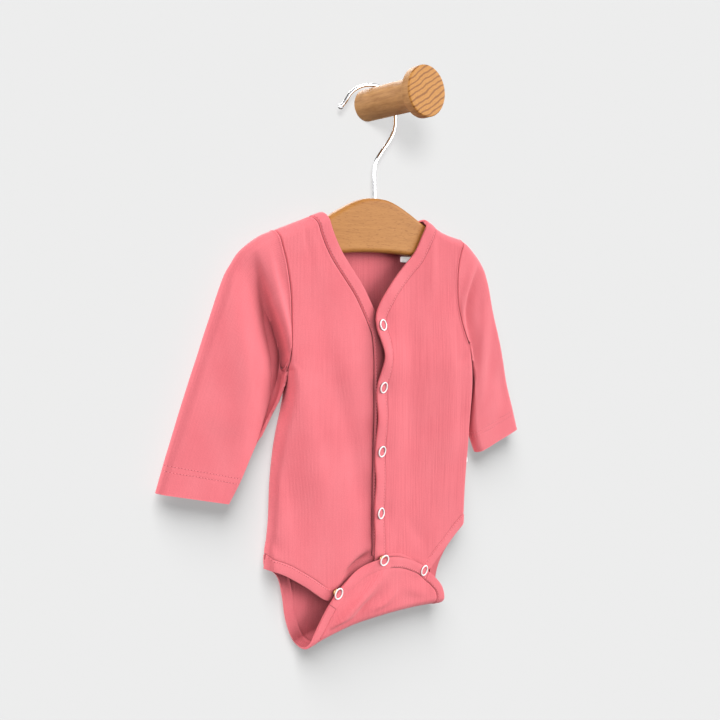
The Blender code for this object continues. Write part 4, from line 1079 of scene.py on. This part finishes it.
def shader(name, base, roughness, **sockets):
    """A Principled material and its node tree; sockets are set by name, with _ for a space."""
    made = bpy.data.materials.new(name)
    made.use_nodes = True
    bsdf = made.node_tree.nodes["Principled BSDF"]
    bsdf.inputs["Base Color"].default_value = (*base, 1)
    bsdf.inputs["Roughness"].default_value = roughness
    for socket, value in sockets.items():
        bsdf.inputs[socket.replace("_", " ")].default_value = value
    return made


def node(tree, kind, values=(), **settings):
    made = tree.nodes.new(kind)
    for key, value in settings.items():
        setattr(made, key, value)
    for socket, value in values:
        made.inputs[socket].default_value = value
    return made


def mapped(tree, scale, output="Object"):
    """A texture coordinate, stretched by scale."""
    coordinates = node(tree, "ShaderNodeTexCoord")
    mapping = node(tree, "ShaderNodeMapping", [("Scale", scale)])
    tree.links.new(coordinates.outputs[output], mapping.inputs["Vector"])
    return mapping.outputs["Vector"]


def noise(tree, vector, scale, detail=2.0, roughness=0.5):
    made = node(tree, "ShaderNodeTexNoise",
                [("Scale", scale), ("Detail", detail), ("Roughness", roughness)])
    tree.links.new(vector, made.inputs["Vector"])
    return made.outputs["Fac"]


def ramp(tree, factor, stops):
    made = node(tree, "ShaderNodeValToRGB")
    elements = made.color_ramp.elements
    while len(elements) < len(stops):
        elements.new(0.5)
    for element, (place, colour) in zip(elements, stops):
        element.position = place
        element.color = (*colour, 1)
    tree.links.new(factor, made.inputs["Fac"])
    return made.outputs["Color"]


def mix_colour(tree, first, second, factor, blend="MIX"):
    made = node(tree, "ShaderNodeMix", data_type="RGBA", blend_type=blend)
    for source, socket in ((factor, 0), (first, 6), (second, 7)):
        if isinstance(source, (int, float)):
            made.inputs[socket].default_value = source
        elif isinstance(source, tuple):
            made.inputs[socket].default_value = (*source, 1)
        else:
            tree.links.new(source, made.inputs[socket])
    return made.outputs[2]


def math(tree, operation, first, second):
    made = node(tree, "ShaderNodeMath", operation=operation)
    for source, socket in ((first, 0), (second, 1)):
        if isinstance(source, (int, float)):
            made.inputs[socket].default_value = source
        else:
            tree.links.new(source, made.inputs[socket])
    return made.outputs[0]


def finish(made, colour, height=None, distance=0.0002, strength=0.0):
    """Link a material's colour, and a bump of its height where it has one."""
    tree = made.node_tree
    bsdf = tree.nodes["Principled BSDF"]
    tree.links.new(colour, bsdf.inputs["Base Color"])
    if height is not None:
        rough = node(tree, "ShaderNodeBump", [("Distance", distance), ("Strength", strength)])
        tree.links.new(height, rough.inputs["Height"])
        tree.links.new(rough.outputs["Normal"], bsdf.inputs["Normal"])
    return made


def cloth_material(name, rib, painted_shade=1.0):
    """Interlock jersey: fine wales along the cut, uneven dye and a soft nap, with painted shade that
    darkens the colour in creases and gaps where other cloth is near.
    """
    made = shader(name, CORAL, 0.86, Sheen_Weight=0.18, Sheen_Roughness=0.45,
                  Sheen_Tint=(1.0, 0.80, 0.80, 1), Specular_IOR_Level=0.22)
    tree = made.node_tree
    cut = mapped(tree, (1, 1, 1), "UV")
    streaks = noise(tree, mapped(tree, STREAK_SCALE, "UV"), 1.0, 3.0, 0.6)
    clouds = noise(tree, cut, 28.0, 3.0)
    grain = noise(tree, cut, 950.0, 2.0)
    wales = node(tree, "ShaderNodeTexWave", bands_direction="X",
                 values=[("Scale", WAVE_SCALE), ("Distortion", 0.6), ("Detail", 1.0)])
    tree.links.new(cut, wales.inputs["Vector"])
    colour = ramp(tree, clouds, [(0.30, CORAL), (0.72, CORAL_LIGHT)])
    streak_tone = ramp(tree, streaks, [(0.30, CORAL_DARK), (0.55, CORAL)])
    colour = mix_colour(tree, colour, streak_tone, 0.55 * rib)
    grain_tone = ramp(tree, grain, [(0.30, (0.88, 0.86, 0.86)), (0.70, (1.0, 1.0, 1.0))])
    colour = mix_colour(tree, colour, grain_tone, 0.6, "MULTIPLY")
    # Painted shade: ambient occlusion darkens the colour in creases, gaps and inside the body, where
    # shade falls
    shade_occlusion = node(tree, "ShaderNodeAmbientOcclusion", [("Distance", PAINTED_SHADE_REACH)], samples=8)
    shade = ramp(tree, shade_occlusion.outputs["AO"], PAINTED_SHADE_TONES)
    colour = mix_colour(tree, colour, shade, painted_shade, "MULTIPLY")
    height = math(tree, "ADD", math(tree, "MULTIPLY", wales.outputs["Fac"], 0.5),
                  math(tree, "MULTIPLY", grain, 0.7))
    height = math(tree, "ADD", height, math(tree, "MULTIPLY", streaks, 1.6 * rib))
    return finish(made, colour, height, 0.00035, 0.55)


def beech_material():
    """Warm wood with a grain along the hanger and short dark flecks."""
    made = shader("beech", (0.56, 0.28, 0.095), 0.5, Specular_IOR_Level=0.2)
    tree = made.node_tree
    broad = noise(tree, mapped(tree, (5, 90, 20)), 1.0, 3.0, 0.6)
    fine = noise(tree, mapped(tree, (70, 900, 300)), 1.0, 3.0, 0.6)
    flecks = noise(tree, mapped(tree, (260, 1700, 900)), 1.0, 1.0, 0.4)
    colour = ramp(tree, broad, [(0.30, (0.415, 0.172, 0.040)), (0.70, (0.489, 0.218, 0.054))])
    tone = ramp(tree, fine, [(0.35, (0.88, 0.84, 0.78)), (0.60, (1, 1, 1))])
    colour = mix_colour(tree, colour, tone, 0.9, "MULTIPLY")
    marks = ramp(tree, flecks, [(0.30, (0.70, 0.60, 0.50)), (0.40, (1, 1, 1))])
    colour = mix_colour(tree, colour, marks, 0.7, "MULTIPLY")
    return finish(made, colour, fine, strength=0.25)


def peg_material():
    """Turned wood: fine grain along the peg, and slanting dark bands across its pale end."""
    made = shader("peg_wood", (0.42, 0.235, 0.11), 0.55, Specular_IOR_Level=0.2)
    tree = made.node_tree
    place = node(tree, "ShaderNodeSeparateXYZ")
    tree.links.new(mapped(tree, (1, 1, 1)), place.inputs[0])
    rising = math(tree, "MULTIPLY", place.outputs["Y"], np.cos(PEG_BAND_SLANT))
    across = math(tree, "MULTIPLY", place.outputs["X"], np.sin(PEG_BAND_SLANT))
    waver = noise(tree, mapped(tree, (60, 60, 0)), 1.0, 2.0)
    slant = math(tree, "ADD", math(tree, "SUBTRACT", rising, across),
                 math(tree, "MULTIPLY", waver, PEG_BAND_WAVER))
    phase = math(tree, "MULTIPLY", slant, 2 * pi / PEG_BAND_PITCH)
    bands = math(tree, "ADD", math(tree, "MULTIPLY", math(tree, "SINE", phase, 0), 0.5), 0.5)
    end = ramp(tree, bands, [(0.05, (0.31, 0.120, 0.028)), (0.40, (0.58, 0.262, 0.062))])
    streaks = noise(tree, mapped(tree, (260, 260, 30)), 1.0, 3.0, 0.6)
    side = ramp(tree, streaks, [(0.30, (0.375, 0.180, 0.066)), (0.70, (0.530, 0.275, 0.102))])
    at_end = ramp(tree, math(tree, "MULTIPLY", place.outputs["Z"], 1 / PEG_LENGTH),
                  [(0.10, (0, 0, 0)), (0.985, (0, 0, 0)), (0.990, (1, 1, 1))])
    colour = mix_colour(tree, side, end, at_end)
    fine = noise(tree, mapped(tree, (900, 900, 160)), 1.0, 2.0, 0.6)
    tone = ramp(tree, fine, [(0.32, (0.80, 0.75, 0.70)), (0.58, (1, 1, 1))])
    colour = mix_colour(tree, colour, tone, 0.8, "MULTIPLY")
    return finish(made, colour, fine, strength=0.3)


def faint_noise_material(name, base, roughness, scale, amount, **sockets):
    """A plain finish with a slight unevenness of tone."""
    made = shader(name, base, roughness, **sockets)
    tree = made.node_tree
    tone = noise(tree, mapped(tree, (1, 1, 1)), scale, 2.0)
    darker = tuple(channel * (1 - amount) for channel in base)
    return finish(made, ramp(tree, tone, [(0.3, darker), (0.7, base)]))


# Hard pieces

def turned(name, profile, steps, material, slot, nodes):
    """A profile of (radius, height), from the top down, turned about +Z."""
    mesh = bpy.data.meshes.new(name)
    points = [(radius, 0, height) for radius, height in profile]
    mesh.from_pydata(points, [(i, i + 1) for i in range(len(points) - 1)], [])
    mesh.materials.append(material)
    piece = bpy.data.objects.new(name, mesh)
    bpy.context.scene.collection.objects.link(piece)
    screw = piece.modifiers.new("Turn", "SCREW")
    screw.steps = screw.render_steps = steps
    screw.use_merge_vertices = True
    screw.merge_threshold = 0.00001
    screw.use_smooth_shade = True
    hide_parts(*nodes)
    return piece


def round_corner(radius_in, height_in, radius_out, height_out, steps=6, inwards=False):
    """Quarter ellipse of profile points from one (radius, height) to another."""
    turn = np.linspace(0, pi / 2, steps + 1)
    if inwards:
        share_r, share_h = 1 - np.cos(turn), np.sin(turn)
    else:
        share_r, share_h = np.sin(turn), 1 - np.cos(turn)
    return [(radius_in + (radius_out - radius_in) * r, height_in + (height_out - height_in) * h)
            for r, h in zip(share_r, share_h)]


def build_peg(material):
    back = PEG_LENGTH - DISC_THICKNESS
    rim = DISC_RADIUS - DISC_LIP
    profile = [(0, PEG_LENGTH)] + [(rim * share, PEG_LENGTH) for share in (0.5, 0.9)]
    profile += round_corner(rim, PEG_LENGTH, DISC_RADIUS, PEG_LENGTH - DISC_LIP)
    profile += round_corner(DISC_RADIUS, back + DISC_LIP, rim, back)
    profile += round_corner(PEG_RADIUS + PEG_NECK[0], back, PEG_RADIUS, back - PEG_NECK[1],
                            inwards=True)
    profile += [(PEG_RADIUS, back * share) for share in (0.7, 0.35, 0.01)]
    profile += [(PEG_RADIUS - PEG_EDGE, 0), (PEG_RADIUS / 2, 0), (0, 0)]
    peg = turned("peg", profile, PEG_STEPS, material, "peg_wood", ["wall_peg"])
    peg.rotation_euler = (pi / 2, 0, 0)
    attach(peg, "root")


def drawn_curve(name, dimensions, points, rounding, fineness, material, cad_node):
    """A curve through points, rounded; the caller shapes it and sets it in the frame."""
    curve = bpy.data.curves.new(name, "CURVE")
    curve.dimensions = dimensions
    curve.bevel_depth = rounding
    curve.bevel_resolution = fineness
    curve.materials.append(material)
    spline = curve.splines.new("POLY")
    spline.points.add(len(points) - 1)
    for point, place in zip(spline.points, points):
        point.co = (*place, 1)
    piece = bpy.data.objects.new(name, curve)
    bpy.context.scene.collection.objects.link(piece)
    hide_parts(cad_node)
    return piece, curve, spline


def build_hanger(material):
    top = Line(HANGER_TOP).at(np.linspace(0, 1, HANGER_TOP_STEPS))
    x = np.linspace(HANGER_BOTTOM_ENDS, -HANGER_BOTTOM_ENDS, HANGER_BOTTOM_STEPS)
    bottom = np.stack([x, HANGER_BOTTOM_Z - HANGER_BOTTOM_SAG * x**2], -1)
    outline = np.vstack([top, bottom, top[:0:-1] * (-1, 1)])
    hanger, curve, spline = drawn_curve("hanger_wood", "2D", [(x, z, 0) for x, z in outline],
                                        HANGER_ROUNDING, 5, material, "hanger")
    curve.fill_mode = "BOTH"
    curve.extrude = HANGER_THICKNESS / 2 - HANGER_ROUNDING
    curve.offset = -HANGER_ROUNDING
    spline.use_cyclic_u = True
    hanger.location = (0, HANGER_Y, 0)
    hanger.rotation_euler = (pi / 2, 0, 0)
    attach(hanger, "root")


def build_hook(material):
    """The chrome wire, which ends in a small ball."""
    route = Line(HOOK_ROUTE)
    shares = np.linspace(0, 1, WIRE_STEPS)
    hook, curve, spline = drawn_curve("hook_wire", "3D",
                                      [(x, HANGER_Y, z) for x, z in route.at(shares)],
                                      WIRE_RADIUS, 6, material, "hook")
    curve.use_fill_caps = True
    for point, from_tip in zip(spline.points, shares * route.run[-1]):
        off = (from_tip - WIRE_BALL["at"]) / WIRE_BALL["half"]
        ball = WIRE_BALL["swell"] * np.clip(1 - off**2, 0, 1) ** 0.5
        point.radius = max(1.0 if from_tip > WIRE_BALL["at"] else WIRE_BALL["point"], ball)
    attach(hook, "root")


def surface_frame(face, x, z):
    """Point and outward normal of a front or flap face, from its neighbours."""
    x, z = np.float64(x), np.float64(z)
    along = face(x + NORMAL_STEP, z) - face(x - NORMAL_STEP, z)
    up = face(x, z + NORMAL_STEP) - face(x, z - NORMAL_STEP)
    normal = np.cross(along, up)
    return Vector(face(x, z)), Vector(normal / np.linalg.norm(normal))


def build_snaps(white, brass):
    """Enamelled rings on the outside; the closed pairs between the layers are brass."""
    def upper(x, z):
        return front_point(x, z, 1)

    def flap(x, z):
        return back_point(x, flap_down(x, z))

    rows = [(f"placket_snap_{i + 1}", *row[:2], upper) for i, row in enumerate(PLACKET_SNAPS)]
    rows += [(f"flap_snap_{i + 1}", *row[:2], flap) for i, row in enumerate(FLAP_SNAPS)]
    middle, half = (SNAP_RADIUS + SNAP_HOLE_RADIUS) / 2, (SNAP_RADIUS - SNAP_HOLE_RADIUS) / 2
    stud = [(0, STUD_HEIGHT), (STUD_RADIUS, STUD_HEIGHT), (STUD_RADIUS, 0), (0, 0)]
    ring = [(middle + half * np.cos(turn),
             SNAP_HEIGHT * (SNAP_MIDDLE + (1 - SNAP_MIDDLE) * np.sin(-turn)))
            for turn in np.linspace(0, 2 * pi, 13)]
    for name, x, z, face in rows:
        point, normal = surface_frame(face, x, z)
        above, below = BAND_CROWN + SNAP_CLEAR, BINDING + SNAP_CLEAR + STUD_HEIGHT
        for part, node_part, profile, steps, material, height in (
                ("_ring", "_cap", ring, SNAP_STEPS, white, above),
                ("_closed", "_pair", stud, STUD_STEPS, brass, -below)):
            piece = turned(name + part, profile, steps, material, "white", [name + node_part])
            piece.location = point + normal * height
            piece.rotation_mode = "QUATERNION"
            piece.rotation_quaternion = normal.to_track_quat("Z", "Y")
            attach(piece, "root")
        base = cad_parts[name + "_base"].data.materials
        base.clear()
        base.append(white)


def soft_box(name, low, high, rounding, material, cad_node):
    """A woven label: a thin slab with rounded corners."""
    work = bmesh.new()
    bmesh.ops.create_cube(work, size=1)
    for vertex in work.verts:
        for axis in range(3):
            vertex.co[axis] = high[axis] if vertex.co[axis] > 0 else low[axis]
    mesh = bpy.data.meshes.new(name)
    work.to_mesh(mesh)
    work.free()
    mesh.shade_smooth()
    piece = add_piece(name, mesh, material, [cad_node])
    corner = piece.modifiers.new("Corners", "BEVEL")
    corner.width = rounding
    corner.segments = 4
    corner.limit_method = "NONE"


def build_labels(material):
    x, z = NECK_LABEL["x"], NECK_LABEL["z"]
    face = MIDDLE_Y + BACK_DEPTH(z[0]) - CLOTH - SEAM_GAP
    soft_box("neck_label_tape", (x[0], face - NECK_LABEL["thick"], z[0]), (x[1], face, z[1]),
             NECK_LABEL["round"], material, "neck_label")
    z, half = CARE_LABEL["z"], CARE_LABEL["thick"] / 2
    edge = side_x(z[1], 1) + SEAM_GAP
    soft_box("care_label_tape", (edge, MIDDLE_Y - half, z[0]),
             (edge + CARE_LABEL["reach"], MIDDLE_Y + half, z[1]), CARE_LABEL["round"], material,
             "care_label")


# Stage

def build_stage():
    """A plain pale wall, seen through from behind so that the back can be looked at."""
    mesh = bpy.data.meshes.new("wall")
    corners = [(x * WALL_REACH, WALL_Y, z * WALL_REACH)
               for x, z in ((-1, -1), (1, -1), (1, 1), (-1, 1))]
    mesh.from_pydata(corners, [], [(0, 1, 2, 3)])
    wall = bpy.data.objects.new("wall", mesh)
    bpy.context.scene.collection.objects.link(wall)
    paint = shader("wall_paint", WALL_PAINT, 1.0, Emission_Color=(1, 1, 1, 1),
                   Emission_Strength=WALL_GLOW, Specular_IOR_Level=0.0)
    tree = paint.node_tree
    bsdf = tree.nodes["Principled BSDF"]
    clear = node(tree, "ShaderNodeBsdfTransparent")
    sides = node(tree, "ShaderNodeNewGeometry")
    either = node(tree, "ShaderNodeMixShader")
    tree.links.new(sides.outputs["Backfacing"], either.inputs[0])
    tree.links.new(bsdf.outputs[0], either.inputs[1])
    tree.links.new(clear.outputs[0], either.inputs[2])
    tree.links.new(either.outputs[0], tree.nodes["Material Output"].inputs["Surface"])
    mesh.materials.append(paint)
    wall.visible_shadow = False
    wall.visible_glossy = False
    return wall


def sun(name, azimuth, elevation, strength, size, receivers, blockers=None):
    """A sun shining from azimuth degrees right of straight ahead and elevation degrees up."""
    data = bpy.data.lights.new(name, "SUN")
    data.energy = strength
    data.angle = radians(size)
    lamp = bpy.data.objects.new(name, data)
    lamp.rotation_euler = (radians(90 - elevation), 0, radians(azimuth))
    bpy.context.scene.collection.objects.link(lamp)
    lamp.light_linking.receiver_collection = receivers
    lamp.light_linking.blocker_collection = blockers


def linked(name, objects, state="INCLUDE"):
    """A collection that says which objects a lamp lights, or which of them block it."""
    made = bpy.data.collections.new(name)
    for obj in objects:
        made.objects.link(obj)
    for entry in made.collection_objects:
        entry.light_linking.link_state = state
    return made


def build_light(wall, shown):
    """Soft lamps for the garment; the wall has two of its own, for the shadows on it."""
    all_but_wall = linked("lit by the lamps", [wall], "EXCLUDE")
    wall_only = linked("lit by the wall's lamps", [wall])
    by_the_peg = [piece for piece in shown if piece.name in ("peg", "hook_wire")]
    others = [piece for piece in shown if piece not in by_the_peg]
    blockers = {"peg": linked("the peg's shadow", by_the_peg),
                "garment": linked("the garment's shadow", others)}
    for name, *settings in LAMPS:
        sun(name, *settings, receivers=all_but_wall)
    for name, *settings, what in WALL_LAMPS:
        sun(name, *settings, receivers=wall_only, blockers=blockers[what])
    world = bpy.data.worlds.new("studio")
    world.use_nodes = True
    tree = world.node_tree
    background = tree.nodes["Background"]
    coordinates = node(tree, "ShaderNodeTexCoord")
    split = node(tree, "ShaderNodeSeparateXYZ")
    tree.links.new(coordinates.outputs["Generated"], split.inputs[0])
    rising = math(tree, "ADD", math(tree, "MULTIPLY", split.outputs["Z"], 0.5), 0.5)
    room = ramp(tree, rising, WORLD_TONES)
    path = node(tree, "ShaderNodeLightPath")
    forward = math(tree, "ADD", math(tree, "MULTIPLY", split.outputs["Y"], -0.5), 0.5)
    softbox = ramp(tree, forward, SOFTBOX_TONES)
    mirrored = mix_colour(tree, room, softbox, path.outputs["Is Glossy Ray"])
    seen = mix_colour(tree, mirrored, BACKDROP, path.outputs["Is Camera Ray"])
    tree.links.new(seen, background.inputs["Color"])
    bpy.context.scene.world = world
    bpy.context.scene.view_settings.view_transform = "Standard"


def build_camera():
    data = bpy.data.cameras.new("camera")
    data.lens = CAMERA_LENS
    camera = bpy.data.objects.new("camera", data)
    camera.location = CAMERA_PLACE
    camera.rotation_euler = (radians(CAMERA_PITCH), 0, radians(CAMERA_YAW))
    bpy.context.scene.collection.objects.link(camera)
    bpy.context.scene.camera = camera


def main():
    build_camera()
    cloth = {
        "right": cloth_material("cloth_right", 0.45),
        "left": cloth_material("cloth_left", 1.0),
        # the back and flap get three quarters of the painted shade
        "flap": cloth_material("cloth_back", 0.8, painted_shade=0.75),
        "band": cloth_material("cloth_band", 0.25),
        "sleeve": cloth_material("cloth_sleeve", 0.35),
    }
    thread = faint_noise_material("thread", THREAD_COLOUR, 0.7, 400.0, 0.1)
    hole_shade = faint_noise_material("needle_hole_shade", HOLE_SHADE_COLOUR, 0.9, 400.0, 0.2)
    white = faint_noise_material("snap_enamel", ENAMEL, 0.28, 300.0, 0.03)
    brass = faint_noise_material("brass", BRASS, 0.35, 300.0, 0.15, Metallic=1.0)
    # The labels glow faintly: painted light that keeps them white in the shade under the hanger
    painted_glow_tape = faint_noise_material("label_tape_painted_glow", TAPE, 0.7, 900.0, 0.06,
                                Emission_Color=(1, 1, 1, 1), Emission_Strength=0.35)
    chrome = faint_noise_material("chrome", CHROME, 0.10, 120.0, 0.05, Metallic=1.0)
    sewn = {
        "front_right": build_front(-1, cloth),
        "front_left": build_front(1, cloth),
        "back": build_back(cloth),
    }
    for who, paths in build_sleeves(cloth).items():
        sewn["sleeve_" + who] = paths
    for key, paths in sewn.items():
        stitches("stitches_" + key, paths, thread)
        needle_holes("needle_holes_" + key, paths, hole_shade)
    build_peg(peg_material())
    build_hanger(beech_material())
    build_hook(chrome)
    build_snaps(white, brass)
    build_labels(painted_glow_tape)
    wall = build_stage()
    pieces = [obj for obj in bpy.context.scene.objects if obj.type in ("MESH", "CURVE")]
    build_light(wall, [obj for obj in pieces if obj != wall])


main()
